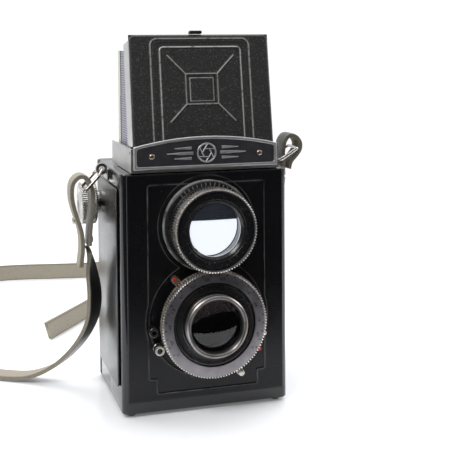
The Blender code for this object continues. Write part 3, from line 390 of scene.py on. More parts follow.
def open_box(name, front, back, low, high, wall, depth_sign=1):
    """An open-backed shell: the outline carried up in levels whose edges are rounded, closed by flat lids."""
    bend = np.linspace(0, math.pi / 2, 5)
    inset = EDGE_ROUND * (1 - np.sin(bend))
    rise = EDGE_ROUND * (1 - np.cos(bend))
    levels = np.concatenate([low + rise, np.linspace(low + 6 * MM, high - 6 * MM, 6), (high - rise)[::-1]])
    insets = np.concatenate([inset, np.zeros(6), inset[::-1]])
    left = np.stack([upright_path(i, front, back) for i in insets])
    whole = np.concatenate([left, left[:, -2::-1] * (-1, 1)], axis=1)
    walls = np.concatenate([whole, np.broadcast_to(levels[:, None, None], (*whole.shape[:2], 1))], axis=2)
    share = np.linspace(0, 1, 5)[:, None, None]
    lids = []
    for row, level_z in ((0, levels[0]), (-1, levels[-1])):
        half_line = left[row]
        lid = half_line * (1 - share) + half_line * (-1, 1) * share
        lids.append(np.concatenate([lid, np.full((*lid.shape[:2], 1), level_z)], axis=2))
    if depth_sign < 0:
        centre = front + back
        for grid in (walls, *lids):
            grid[..., 1] = centre - grid[..., 1]
    shell = patches(name, [walls, *lids], 50)
    thick = shell.modifiers.new("wall", "SOLIDIFY")
    thick.thickness = wall
    thick.offset = -1
    return shell


casing = open_box("casting", CASTING_LOW.y, CASTING_BACK, BODY_BOTTOM, BODY_TOP, CASTING_WALL)
fitted(casing, "root", "casting_enamel", enamel, "body_shell")


def eased(corners, radii, steps=4):
    """The closed outline with each corner turned into a curve that starts its radius away from it."""
    points = np.asarray(corners, float)
    before = np.roll(points, 1, 0) - points
    after = np.roll(points, -1, 0) - points
    run_in = np.linalg.norm(before, axis=1, keepdims=True)
    run_out = np.linalg.norm(after, axis=1, keepdims=True)
    wanted = np.broadcast_to(np.asarray(radii, float).reshape(-1, 1), run_in.shape)
    reach = np.minimum(wanted, 0.49 * np.minimum(run_in, run_out))
    start, end = points + before / run_in * reach, points + after / run_out * reach
    t = np.linspace(0, 1, steps + 1)[None, :, None]
    curve = start[:, None] * (1 - t) ** 2 + 2 * points[:, None] * t * (1 - t) + end[:, None] * t**2
    return curve.reshape(-1, 2)


def spun(name, profile, centre, axis, sides=96, ease=0.15, steps=3, wave=None, sharp=35):
    """A turned piece: its (radius, height) outline in mm carried round the axis through centre."""
    centre = np.asarray(centre, float)
    axis = np.asarray(axis, float)
    line = np.asarray(profile, float)
    on_axis = line[:, 0] == 0
    line = eased(line * MM, np.where(on_axis, 0, ease) * MM, steps)
    turn = np.linspace(0, 2 * math.pi, sides, endpoint=False)
    first = np.array([1.0, 0, 0]) if abs(axis[0]) < 0.5 else np.array([0, 1.0, 0])
    second = np.cross(axis, first)
    ring = np.cos(turn)[:, None] * first + np.sin(turn)[:, None] * second
    radius = np.broadcast_to(line[None, :, 0], (sides, len(line)))
    if wave is not None:
        radius = wave(radius, np.broadcast_to(line[None, :, 1], radius.shape), turn[:, None])
    points = centre + ring[:, None, :] * radius[..., None] + axis * line[None, :, 1, None]
    faces = grid_faces(sides, len(line), 0, True, True)
    return mesh_piece(name, points, faces, sharp)


FOOT_RADIUS = 2.2
for n, (x, depth) in enumerate(((-35.5, 6.5), (35.5, 6.5), (-35.5, 54), (35.5, 54))):
    foot = spun(
        f"foot_{n + 1}",
        [(0, 0), (FOOT_RADIUS, 0), (FOOT_RADIUS, 1.4), (0, 1.4)],
        (x * MM, FRONT_FACE + depth * MM, -STAND),
        (0, 0, 1),
        32,
        0.5,
    )
    fitted(foot, "root", "casting_enamel", enamel)
HINGE = joint_at["back_swing"]
for side in (-1, 1):
    knuckle = spun(
        f"hinge_knuckle_{'left' if side < 0 else 'right'}",
        [(1.0, 20), (1.6, 20), (1.6, 30), (1.0, 30)],
        (0, HINGE[1], HINGE[2]),
        (side, 0, 0),
        32,
    )
    fitted(knuckle, "root", "casting_enamel", enamel)


# ---------------------------------------------------------------------------
# Front plate: the same black enamel, pressed with a thin raised line round the panel and another round both
# lenses, like a figure of eight.
def relief_sheet(name, across, along, height, wall, place, hole=None, sharp=50, attributes=()):
    """A sheet on a grid of across and along values, raised by height(u, v), given a back wall and rims.

    place(u, v, rise) turns sheet coordinates into points. Quads whose middle lies in hole are left out.
    """
    u, v = np.meshgrid(across, along)
    rise = height(u, v)
    front = place(u, v, rise)
    back = place(u, v, np.full_like(u, -wall))
    rows, columns = u.shape
    quads = grid_faces(rows, columns)
    if hole:
        centre_u = u.reshape(-1)[quads].mean(axis=1)
        centre_v = v.reshape(-1)[quads].mean(axis=1)
        low_u, high_u, low_v, high_v = hole
        inside = (centre_u > low_u) & (centre_u < high_u) & (centre_v > low_v) & (centre_v < high_v)
        quads = quads[~inside]
    edges = np.concatenate([quads[:, [0, 1]], quads[:, [1, 2]], quads[:, [2, 3]], quads[:, [3, 0]]])
    _, first, count = np.unique(np.sort(edges, axis=1), axis=0, return_index=True, return_counts=True)
    rim = edges[first[count == 1]]
    total = rows * columns
    sides = np.stack([rim[:, 0], rim[:, 1], rim[:, 1] + total, rim[:, 0] + total], axis=-1)
    faces = np.vstack([quads, quads[:, ::-1] + total, sides])
    layers = {label: np.concatenate([values(u, v).ravel()] * 2) for label, values in dict(attributes).items()}
    used = np.unique(faces)
    number = np.zeros(2 * total, int)
    number[used] = np.arange(len(used))
    points = np.concatenate([front.reshape(-1, 3), back.reshape(-1, 3)])[used]
    layers = {label: values[used] for label, values in layers.items()}
    return mesh_piece(name, points, number[faces], sharp, layers)


def ridge(distance, width):
    """A round-topped line: 1 on it, 0 from half its width away."""
    return np.clip(1 - (2 * distance / width) ** 2, 0, 1)


def box_distance(u, v, low, high, corner=0.0):
    """Signed distance to a rectangle with round corners, negative inside."""
    centre = (np.array(low) + high) / 2
    half = (np.array(high) - low) / 2 - corner
    du, dv = np.abs(u - centre[0]) - half[0], np.abs(v - centre[1]) - half[1]
    outside = np.hypot(np.maximum(du, 0), np.maximum(dv, 0))
    return outside + np.minimum(np.maximum(du, dv), 0) - corner


PLATE_LOW, PLATE_HIGH = cad_span("front_plate")
PLATE_WALL = PLATE_HIGH.y - PLATE_LOW.y
LINE_WIDTH = 0.9 * MM
LINE_RISE = 0.3 * MM


def plate_lines(x, z):
    """How far each point of the front plate is raised: two pressed lines and a rounded rim."""
    panel = box_distance(x, z, (-0.0283, 0.013), (0.0283, 0.1039), 1.2 * MM)
    foot = box_distance(x, z, (-0.0245, 0.0062), (0.0245, 0.03), 1.2 * MM)
    taking = np.hypot(x, z - TAKING_AXIS[2])
    viewing = np.hypot(x, z - VIEWING_AXIS[2])
    frame_line = np.minimum(np.minimum(panel, foot), taking - 0.0295)
    eight = np.minimum(viewing - 0.0235, taking - 0.0278)
    lines = np.maximum(ridge(np.abs(frame_line), LINE_WIDTH), 0.9 * ridge(np.abs(eight), LINE_WIDTH))
    low, high = (PLATE_LOW.x, PLATE_LOW.z), (PLATE_HIGH.x, PLATE_HIGH.z)
    rim = np.clip(-box_distance(x, z, low, high) / (1.0 * MM), 0, 1)
    return lines * LINE_RISE - 0.5 * MM * (1 - np.sqrt(1 - (1 - rim) ** 2))


front_plate = relief_sheet(
    "front_panel",
    np.linspace(PLATE_LOW.x, PLATE_HIGH.x, 200),
    np.linspace(PLATE_LOW.z, PLATE_HIGH.z, 280),
    plate_lines,
    PLATE_WALL,
    lambda x, z, rise: np.stack([x, FRONT_FACE - rise, z], -1),
    attributes={"line": lambda x, z: np.clip(plate_lines(x, z) / LINE_RISE, 0, 1)},
)
plate_enamel = Finish("front_enamel", {"Base Color": (0.006, 0.006, 0.007), "Specular IOR Level": 0.3})
plate_place = plate_enamel.place()
specks = plate_enamel.noise(plate_place, 900, 2).above(0.77, 0.02)
worn = plate_enamel.attribute("line").above(0.7, 0.6) * plate_enamel.noise(plate_place, 120, 4).above(0.45, 0.3)
plate_enamel.set(
    {
        "Base Color": plate_enamel.blend((worn * 0.6).either(specks * 0.25), (0.006, 0.006, 0.007), (0.2, 0.2, 0.2)),
        "Roughness": plate_enamel.noise(plate_place, 45, 4) * 0.2 + 0.16,
        "Normal": plate_enamel.relief(plate_enamel.noise(plate_place, 350, 3), 0.00004, 0.3),
    }
)
fitted(front_plate, "root", "casting_enamel", plate_enamel, "front_plate")


# ---------------------------------------------------------------------------
# Side covers: thin panels of moulded plastic with a fine pressed leather grain, glossy on its high spots.
leather = Finish("pressed_leather_grain", {"Base Color": (0.012, 0.012, 0.012), "Roughness": 0.3})
leather_place = leather.place()
pebbles = leather.cells(leather_place, 1100, "SMOOTH_F1")
creases = leather.noise(leather_place, 700, 4, 0.6)
grain = pebbles * 0.7 + creases * 0.6
patchy = leather.noise(leather_place, 50, 3)
leather.set(
    {
        "Base Color": leather.blend(patchy, (0.008, 0.008, 0.008), (0.022, 0.021, 0.02)),
        "Roughness": patchy * 0.18 + grain * 0.12 + 0.16,
        "Normal": leather.relief(grain, 0.00012, 0.5),
        "Coat Weight": 0.25,
        "Coat Roughness": 0.2,
    }
)


def slab(name, corners, radii, thick, rim, place, segments=5):
    """A flat piece: a rounded outline whose face is edged with a quarter round, closed by flat sides.

    place(u, v, rise) turns its own coordinates into points.
    """
    outline = eased(np.asarray(corners) * MM, np.asarray(radii) * MM, 8)
    centre = outline.mean(axis=0)
    forward = np.roll(outline, -1, 0) - np.roll(outline, 1, 0)
    normal = np.stack([forward[:, 1], -forward[:, 0]], -1)
    normal /= np.linalg.norm(normal, axis=1, keepdims=True)
    if (normal * (outline - centre)).sum() < 0:
        normal = -normal
    bend = np.linspace(0, math.pi / 2, segments)
    inset = np.concatenate([rim * (1 - np.sin(bend)), rim * (1 - np.sin(bend[::-1]))]) * MM
    rise = np.concatenate([-thick + rim * (1 - np.cos(bend)), -rim * (1 - np.cos(bend[::-1]))]) * MM
    rings = outline[None] - normal[None] * inset[:, None, None]
    levels = np.broadcast_to(rise[:, None], rings.shape[:2])
    points = place(rings[..., 0], rings[..., 1], levels)
    count = len(outline)
    sides = grid_faces(len(rise), count, 0, False, True).tolist()
    caps = [list(range(count)), list(range((len(rise) - 1) * count, len(rise) * count))]
    return mesh_piece(name, points, np.array(sides + caps, dtype=object), 40)


def rectangle(low, high):
    return [low, (high[0], low[1]), high, (low[0], high[1])]


for side, node in ((-1, "left_side_cover"), (1, "right_side_cover")):
    low, high = cad_span(node)
    outer = low.x if side < 0 else high.x
    cover = slab(
        node + "_grained",
        rectangle((low.y / MM, low.z / MM), (high.y / MM, high.z / MM)),
        3.0,
        (high.x - low.x) / MM,
        0.45,
        lambda u, v, rise, outer=outer, side=side: np.stack([outer + side * rise, u, v], -1),
    )
    fitted(cover, "root", "leatherette", leather, node)


# ---------------------------------------------------------------------------
# Hinged back: an enamelled tray with a grained panel, a red film window behind a swinging metal cover, and
# inside it the sprung plate that keeps the film flat.
BACK_HIGH = cad_span("back_cover")[1]
BACK_FRONT = FRONT_FACE + 60.3 * MM
tray = open_box("back_tray", BACK_FRONT, BACK_HIGH.y, BODY_BOTTOM, BODY_TOP, 1.3 * MM, -1)
fitted(tray, "back", "casting_enamel", enamel, "back_cover")
back_knuckle = spun(
    "back_knuckle", [(1.0, -19.5), (1.6, -19.5), (1.6, 19.5), (1.0, 19.5)], (0, HINGE[1], HINGE[2]), (1, 0, 0), 32
)
fitted(back_knuckle, "back", "casting_enamel", enamel)
steel = Finish("polished_steel", {"Base Color": (0.62, 0.61, 0.58), "Metallic": 1.0, "Roughness": 0.2})
steel_place = steel.place()
tarnish = steel.noise(steel_place, 90, 5, 0.6)
fine_dust = steel.noise(steel_place, 1500, 2)
steel.set(
    {
        "Base Color": steel.blend(tarnish.above(0.52, 0.3), (0.66, 0.65, 0.63), (0.36, 0.33, 0.29)),
        "Roughness": tarnish * 0.3 + fine_dust * 0.12 + 0.06,
        "Normal": steel.relief(fine_dust, 0.00001, 0.3),
    }
)
dull = Finish("bare_aluminium", {"Base Color": (0.5, 0.5, 0.49), "Metallic": 1.0, "Roughness": 0.4})
dull_place = dull.place()
rolled = dull.node("Mapping", {}, {"Vector": dull_place, "Scale": (1, 1, 0.08)})
lines = dull.noise(rolled, 1800, 3)
stains = dull.noise(dull_place, 70, 5, 0.6)
dull.set(
    {
        "Base Color": dull.blend(stains, (0.34, 0.33, 0.31), (0.66, 0.66, 0.65)),
        "Roughness": stains * 0.25 + lines * 0.15 + 0.2,
        "Normal": dull.relief(lines, 0.00001, 0.4),
    }
)
ruby = Finish("ruby_window", {"Base Color": (0.35, 0.01, 0.012), "Roughness": 0.12, "Coat Weight": 0.5})
ruby.set({"Roughness": ruby.noise(ruby.place(), 300) * 0.15 + 0.05})
keep(dull, "pressure_plate", "pressure_spring", "tripod_plate")
keep(steel, "back_hinge_pin", "back_catch")
keep(ruby, "film_window")
COVER_LOW = cad_span("window_cover")[0]
window_centre = (0, COVER_LOW.y, TAKING_AXIS[2])
lid_disc = spun("window_lid", [(0, 0), (6.3, 0), (6.3, 0.8), (0, 0.8)], window_centre, (0, 1, 0), 64, 0.3)
fitted(lid_disc, "window", "polished_chrome", steel, "window_cover")
grip_at = (0, COVER_LOW.y, TAKING_AXIS[2] - 3.5 * MM)
lid_grip = spun("window_lid_grip", [(0, 0.6), (1.2, 0.6), (1.0, 2.1), (0, 2.1)], grip_at, (0, 1, 0), 32, 0.3)
fitted(lid_grip, "window", "polished_chrome", steel)
lid_arm = slab(
    "window_lid_arm",
    rectangle((-1.6, TAKING_AXIS[2] / MM + 4), (1.6, TAKING_AXIS[2] / MM + 12.5)),
    1.5,
    0.8,
    0.2,
    lambda u, v, rise: np.stack([u, COVER_LOW.y + 0.8 * MM + rise, v], -1),
)
fitted(lid_arm, "window", "polished_chrome", steel)
back_panel = slab(
    "back_leather",
    rectangle((-36, 16), (36, 33)),
    3.0,
    0.5,
    0.2,
    lambda u, v, rise: np.stack([u, BACK_HIGH.y + 0.35 * MM + rise, v], -1),
)
fitted(back_panel, "back", "leatherette", leather)
upper_panel = slab(
    "back_leather_upper",
    rectangle((-36, 56), (36, 103)),
    3.0,
    0.5,
    0.2,
    lambda u, v, rise: np.stack([u, BACK_HIGH.y + 0.35 * MM + rise, v], -1),
)
fitted(upper_panel, "back", "leatherette", leather)


# ---------------------------------------------------------------------------
# Viewing lens: a stepped black collar carries the toothed focusing ring, the bezel and a bulging front glass;
# the rear glass behind it is painted to glow, bright below and dark above, as a painted reflection of the ground
# glass.
VIEW_AT = (VIEWING_AXIS[0], FRONT_FACE, VIEWING_AXIS[2])
FORWARD = (0, -1, 0)
satin = Finish("satin_black", {"Base Color": (0.012, 0.012, 0.013), "Roughness": 0.3, "Coat Weight": 0.15})
satin_place = satin.place()
satin_dust = satin.noise(satin_place, 700, 4)
satin.set(
    {
        "Base Color": satin.blend(satin_dust.above(0.66, 0.1) * 0.4, (0.009, 0.009, 0.01), (0.12, 0.12, 0.12)),
        "Roughness": satin.noise(satin_place, 120, 3) * 0.25 + 0.14,
        "Normal": satin.relief(satin_dust, 0.00002, 0.3),
    }
)
collar = Finish("engraved_black", {"Base Color": (0.012, 0.012, 0.013), "Roughness": 0.3})
collar_place = collar.place(VIEW_AT)
collar_radius = collar.from_axis(collar_place)
collar_angle = collar.bearing(collar_place)
near_mark = (collar_angle * (1 / 0.11)).beside_steps()
marks = (1 - near_mark.above(0.07, 0.05)).both(1 - abs(collar_angle).above(0.8, 0.05))
marks = marks.both(collar_radius.above(18.6 * MM, 0.3 * MM)).both(1 - collar_radius.above(20.2 * MM, 0.3 * MM))
collar_worn = collar_radius.above(20.9 * MM, 0.5 * MM) * collar.noise(collar_place, 160, 4).above(0.42, 0.3)
collar.set(
    {
        "Base Color": collar.blend((marks * 0.8).either(collar_worn * 0.7), (0.01, 0.01, 0.011), (0.42, 0.41, 0.4)),
        "Roughness": collar.noise(collar_place, 200, 3) * 0.25 + 0.16,
        "Coat Weight": 0.2,
    }
)
mount = spun(
    "viewing_collar",
    [
        (12.4, -6),
        (15.9, -6),
        (15.9, 0.3),
        (21.5, 0.3),
        (21.5, 2.8),
        (20.6, 2.8),
        (20.4, 3.0),
        (18.2, 3.0),
        (18.2, 4.0),
        (17.5, 4.0),
        (17.5, 12.6),
        (12.4, 12.6),
    ],
    VIEW_AT,
    FORWARD,
    128,
    0.2,
)
fitted(mount, "root", "black_fittings", collar, "viewing_lens_mount")


def toothed_ring(name, teeth, bore, reach, centre, phase, bevel=0.35):
    """A ring with trapezoid teeth, its face and bore bevelled. Each level of its side is one ring of points."""
    pitch_radius = TOOTH_MODULE * teeth / 2
    pitch = 2 * math.pi / teeth
    turn = (np.arange(teeth)[:, None] + phase + np.array([-0.30, -0.15, 0.15, 0.30])) * pitch
    radius = pitch_radius + np.array([-0.4, 0.28, 0.28, -0.4])[None, :] + 0 * turn
    turn, radius = turn.ravel(), radius.ravel()
    low, high = reach
    root_radius = pitch_radius - 0.4
    lower, upper = (radius - root_radius) * 0.35 + root_radius - bevel, radius
    levels = [
        (np.full_like(turn, bore), low + 0.1),
        (lower - 0.1, low),
        (upper, low + bevel),
        (upper, high - bevel),
        (lower - 0.1, high),
        (np.full_like(turn, bore + 0.25), high),
        (np.full_like(turn, bore), high - 0.25),
    ]
    ring = np.stack([np.cos(turn), 0 * turn, np.sin(turn)], -1)
    points = np.stack([np.asarray(centre) + (ring * r[:, None] + np.array(FORWARD) * h) * MM for r, h in levels])
    return mesh_piece(name, points, grid_faces(len(levels), len(turn), 0, True, True), 30)


TOOTH_MODULE = 0.425
VIEWING_TEETH = 90
viewing_ring = toothed_ring("viewing_toothed_ring", VIEWING_TEETH, 17.9, (10.0, 17.4), VIEW_AT, 0.0)
teeth_worn = Finish("worn_black_teeth", {"Base Color": (0.02, 0.02, 0.02), "Roughness": 0.35})
teeth_place = teeth_worn.place(VIEW_AT)
teeth_radius = teeth_worn.from_axis(teeth_place)
teeth_smears = teeth_worn.noise(teeth_place, 220, 4).above(0.3, 0.3)
rubbed = teeth_radius.above(18.65 * MM, 0.35 * MM) * (teeth_smears * 0.5 + 0.5)
teeth_worn.set(
    {
        "Base Color": teeth_worn.blend(rubbed, (0.012, 0.012, 0.012), (0.85, 0.8, 0.75)),
        "Metallic": rubbed,
        "Roughness": 0.42 - rubbed * 0.14,
    }
)
fitted(viewing_ring, "focus_viewing", "black_fittings", teeth_worn, "viewing_focus_ring")
bezel = spun(
    "viewing_bezel",
    [
        (12.3, 12.9),
        (17.55, 12.9),
        (17.55, 16.7),
        (14.4, 16.8),
        (14.2, 16.3),
        (13.5, 16.3),
        (13.3, 15.9),
        (12.3, 15.0),
    ],
    VIEW_AT,
    FORWARD,
    128,
    0.12,
)
fitted(bezel, "focus_viewing", "black_fittings", satin, "viewing_lens_bezel")


def glass_profile(radius, edge, front, back, middle, steps=10):
    """A lens: both faces are shallow parabolas from the rim to the middle."""
    share = np.linspace(0, 1, steps)
    face = [(radius * s, middle + edge / 2 + front * (1 - s * s)) for s in share]
    return face + [(radius * s, middle - edge / 2 - back * (1 - s * s)) for s in share[::-1]]


coated = Finish("coated_glass", {"Base Color": (0.92, 0.95, 1.0), "Roughness": 0.02, "IOR": 1.5})
coated.set({"Transmission Weight": 1.0, "Coat Weight": 0.2, "Coat Roughness": 0.02})
coated.set({"Roughness": coated.noise(coated.place(), 80, 3) * 0.03})
# Painted light: the rear glass's emission, bright in its lower part and dark above, stands in for the lit ground
# glass seen through the mirror; no light passes the finder.
lit = Finish("lit_glass", {"Base Color": (0.01, 0.01, 0.012), "Roughness": 0.08, "Coat Weight": 0.4})
lit_place = lit.place(VIEW_AT)
lz = lit.axes(lit_place)[2]
painted_screen_glow = 1 - lz.above(1.9 * MM, 0.25 * MM)
lit.set(
    {
        "Base Color": lit.blend(painted_screen_glow, (0.012, 0.013, 0.018), (0.85, 0.87, 0.92)),
        "Emission Color": lit.blend(painted_screen_glow, (0.012, 0.014, 0.02), (0.95, 0.97, 1.0)),
        "Emission Strength": 1.1,
    }
)
front_glass = spun("viewing_glass", glass_profile(12.0, 1.2, 1.6, 0.3, 14.1), VIEW_AT, FORWARD, 96, 0)
fitted(front_glass, "focus_viewing", "optical_glass", coated, "viewing_front_lens")
rear_glass = spun("viewing_rear_glass", glass_profile(12.0, 1.6, 0.6, 1.4, 2.0), VIEW_AT, FORWARD, 96, 0)
fitted(rear_glass, "root", "optical_glass", lit, "viewing_rear_lens")


# ---------------------------------------------------------------------------
# Taking lens: the shutter housing, a bright toothed ring with an engraved distance scale, a deep black recess
# and a polished rim round the front glass. The lever rings turn round the housing behind the toothed ring.
TAKE_AT = (TAKING_AXIS[0], FRONT_FACE, TAKING_AXIS[2])
housing = spun(
    "shutter_case",
    [
        (10.2, -4),
        (15.2, -4),
        (15.2, 0.3),
        (21.9, 0.3),
        (21.9, 8.0),
        (19.0, 8.0),
        (19.0, 11.2),
        (17.2, 11.2),
        (17.2, 9.4),
        (10.2, 9.4),
    ],
    TAKE_AT,
    FORWARD,
    128,
    0.2,
)
fitted(housing, "root", "black_fittings", satin, "shutter_housing")
silver = Finish("engraved_silver", {"Base Color": (0.5, 0.5, 0.49), "Metallic": 1.0, "Roughness": 0.35})
silver_place = silver.place(TAKE_AT)
silver_radius = silver.from_axis(silver_place)
silver_angle = silver.bearing(silver_place)
tick = (silver_angle * (1 / 0.17)).beside_steps()
ticks = (1 - tick.above(0.06, 0.04)).both(silver_radius.above(22.6 * MM, 0.2 * MM))
ticks = ticks.both(1 - silver_radius.above(23.7 * MM, 0.2 * MM)).both(1 - abs(silver_angle).above(2.2, 0.05))
blob = (silver_angle * (1 / 0.34)).beside_steps()
figures = (1 - blob.above(0.16, 0.05)).both(silver_radius.above(20.6 * MM, 0.2 * MM))
figures = figures.both(1 - silver_radius.above(22.0 * MM, 0.2 * MM))
figures = figures.both(silver.noise(silver_place, 1400, 2).above(0.5, 0.08))
figures = figures.both(1 - abs(silver_angle).above(2.2, 0.05))
smears = silver.noise(silver_place, 110, 5, 0.65)
tooth_tips = silver_radius.above(24.35 * MM, 0.3 * MM)
smeared_silver = silver.blend(smears, (0.13, 0.12, 0.13), (0.42, 0.4, 0.42))
tipped_silver = silver.blend(tooth_tips, smeared_silver, (0.85, 0.8, 0.74))
silver.set(
    {
        "Base Color": silver.blend(ticks.either(figures) * 0.75, tipped_silver, (0.05, 0.05, 0.05)),
        "Roughness": smears * 0.3 + 0.2,
        "Normal": silver.relief(silver.noise(silver_place, 1600, 2), 0.00001, 0.3),
    }
)
TAKING_TEETH = 116
taking_ring = toothed_ring("taking_toothed_ring", TAKING_TEETH, 19.4, (8.8, 13.7), TAKE_AT, 0.0)
fitted(taking_ring, "focus_taking", "silver_ring", silver, "taking_focus_ring")
recess = spun(
    "taking_recess",
    [(14.8, 11.5), (19.1, 11.5), (19.1, 12.7), (18.2, 12.7), (17.6, 12.1), (15.3, 12.1), (14.8, 12.3)],
    TAKE_AT,
    FORWARD,
    128,
    0.1,
)
fitted(recess, "focus_taking", "black_fittings", satin, "taking_recess_ring")
rim = spun(
    "taking_rim",
    [
        (11.8, 10.2),
        (14.46, 10.2),
        (14.46, 15.2),
        (14.0, 15.4),
        (14.0, 16.0),
        (14.46, 16.2),
        (14.46, 17.7),
        (13.7, 18.4),
        (12.9, 18.3),
        (11.8, 16.6),
    ],
    TAKE_AT,
    FORWARD,
    128,
    0.2,
)
two_tone = Finish("worn_chrome_rim", {"Base Color": (0.5, 0.48, 0.46), "Metallic": 1.0, "Roughness": 0.2})
rim_place = two_tone.place(TAKE_AT)
rim_radius = two_tone.from_axis(rim_place)
black_inside = 1 - rim_radius.above(12.5 * MM, 0.3 * MM)
rim_wear = two_tone.noise(rim_place, 150, 4, 0.6)
worn_rim = two_tone.blend(rim_wear.above(0.5, 0.3), (0.34, 0.33, 0.34), (0.2, 0.165, 0.13))
two_tone.set(
    {
        "Base Color": two_tone.blend(black_inside, worn_rim, (0.01, 0.01, 0.01)),
        "Metallic": 1 - black_inside,
        "Roughness": rim_wear * 0.25 + 0.2,
    }
)
fitted(rim, "focus_taking", "polished_chrome", two_tone, "taking_front_rim")
dark_glass = Finish("deep_glass", {"Base Color": (0.3, 0.24, 0.25), "IOR": 1.5, "Specular IOR Level": 0.25})
dark_glass.set({"Transmission Weight": 1.0, "Roughness": dark_glass.noise(dark_glass.place(), 80, 3) * 0.03})
taking_glass = spun("taking_glass", glass_profile(11.5, 1.4, 1.9, 0.2, 14.2), TAKE_AT, FORWARD, 96, 0)
fitted(taking_glass, "focus_taking", "optical_glass", dark_glass, "taking_front_lens")
taking_rear = spun("taking_rear_glass", glass_profile(9.8, 1.2, 0.5, 1.2, -2.0), TAKE_AT, FORWARD, 64, 0)
fitted(taking_rear, "root", "optical_glass", dark_glass, "taking_rear_lens")
keep(satin, "shutter_blades", "aperture_blades", "light_chamber", "film_gate")
brass = Finish("worn_brass", {"Base Color": (0.42, 0.33, 0.2), "Metallic": 1.0, "Roughness": 0.3})
brass_stain = brass.noise(brass.place(), 140, 4, 0.6)
brass.set(
    {
        "Base Color": brass.blend(brass_stain, (0.25, 0.2, 0.14), (0.6, 0.52, 0.4)),
        "Roughness": brass_stain * 0.3 + 0.16,
    }
)
speed_disc = spun("speed_disc", [(22.2, 6.9), (24.4, 6.9), (24.4, 8.4), (22.2, 8.4)], TAKE_AT, FORWARD, 128, 0.25)
fitted(speed_disc, "speed", "brass_ring", brass, "speed_ring")


def round_place(angle, radius, reach=0.0):
    """A point at an angle in degrees round the taking lens, anticlockwise from +X seen from the front."""
    turn = math.radians(angle)
    return (radius * math.cos(turn) * MM, FRONT_FACE - reach * MM, TAKE_AT[2] + radius * math.sin(turn) * MM)


def lever_blade(name, angle, radii, widths, reach, body, finish, slot, spread=0, nodes=()):
    """A flat arm that leaves its ring and ends in a round tip, with a band of the ring on each side of it."""
    inner, outer = radii
    low, high = reach
    half_in, half_out = widths[0] / 2, widths[1] / 2
    cap = np.linspace(-math.pi / 2, math.pi / 2, 9)
    tip = np.stack([outer - half_out + half_out * np.cos(cap), half_out * np.sin(cap)], -1)
    outline = np.vstack([[(inner, -half_in)], tip, [(inner, half_in)]])
    turn = math.radians(angle)
    cos, sin = math.cos(turn), math.sin(turn)

    def place(u, v, rise):
        x, z = u * cos - v * sin, u * sin + v * cos
        return np.stack([x, FRONT_FACE - high * MM - rise, TAKE_AT[2] + z], -1)

    blade = slab(name, outline, 0.05, high - low, 0.15, place, 3)
    fitted(blade, body, slot, finish, *nodes)
    if spread:
        arc = np.radians(np.linspace(-spread, spread, 40))
        ring = np.stack([np.cos(turn + arc), 0 * arc, np.sin(turn + arc)], -1)
        section = np.array([(22.2, low), (23.4, low), (23.4, high), (22.2, high), (22.2, low)])
        swept = ring[:, None] * section[None, :, :1] + np.array(FORWARD) * section[None, :, 1:]
        band = np.array(TAKE_AT) + swept * MM
        ends = [np.stack([band[k, [0, 3]], band[k, [1, 2]]]) for k in (0, -1)]
        fitted(patches(name + "_band", [band, *ends], 30), body, slot, finish)
    return blade


lever_blade("speed_pointer", 130, (24.0, 29.3), (3.2, 3.4), (6.9, 8.4), "speed", brass, "brass_ring")
red = Finish("red_paint", {"Base Color": (0.55, 0.02, 0.015), "Roughness": 0.4})
red_chips = red.noise(red.place(), 900, 3)
red.set({"Base Color": red.blend(red_chips, (0.35, 0.01, 0.01), (0.7, 0.04, 0.03))})
for name, angle, radius, reach, body in (
    ("speed_red_dot", 130, 27.6, 8.4, "speed"),
    ("timer_red_dot", 327, 27.5, 7.9, "self_timer"),
):
    spot = round_place(angle, radius, reach)
    dot = spun(name, [(0, 0.05), (0.95, 0.05), (0.8, 0.28), (0, 0.33)], spot, FORWARD, 32, 0.05)
    fitted(dot, body, "polished_chrome", red)
for name, body, angle, tip, width, reach, tab, finish, slot in (
    ("aperture_lever", "aperture", 250, 27.4, 3.4, (5.95, 6.6), 1.0, satin, "black_fittings"),
    ("cocking_lever", "cocking", 299, 30.8, 3.6, (5.0, 5.65), 3.0, steel, "polished_chrome"),
    ("self_timer_lever", "self_timer", 327, 28.4, 2.8, (4.05, 4.7), 3.2, steel, "polished_chrome"),
    ("release_lever", "release", 343, 28.4, 2.8, (3.1, 3.75), 3.6, steel, "polished_chrome"),
):
    lever_blade(name + "_arm", angle, (23.0, tip), (width, width * 0.9), reach, body, finish, slot, 24, (name,))
    stem = spun(
        name + "_knob",
        [(0, 0), (width * 0.38, 0), (width * 0.38, tab * 0.6), (width * 0.42, tab), (0, tab + 0.1)],
        round_place(angle, tip - width * 0.5, reach[1]),
        FORWARD,
        32,
        0.2,
    )
    fitted(stem, body, slot, finish)
cable = spun(
    "cable_socket",
    [(0, 0.3), (2.5, 0.3), (2.5, 4.8), (2.1, 5.2), (1.0, 5.2), (1.0, 1.6), (0, 1.6)],
    (-26.6 * MM, FRONT_FACE, TAKE_AT[2] - 3.8 * MM),
    FORWARD,
    48,
    0.15,
)
fitted(cable, "root", "black_fittings", satin, "cable_release_socket")
flash = spun(
    "flash_post",
    [
        *[(0, 0.3), (2.3, 0.3), (2.3, 2.2), (2.0, 2.4), (2.0, 2.8)],
        *[(2.3, 3.0), (2.3, 6.6), (1.2, 6.6), (1.2, 2.4), (0, 2.4)],
    ],
    (-24.4 * MM, FRONT_FACE, TAKE_AT[2] - 11.9 * MM),
    FORWARD,
    48,
    0.12,
)
fitted(flash, "root", "polished_chrome", steel, "flash_socket")


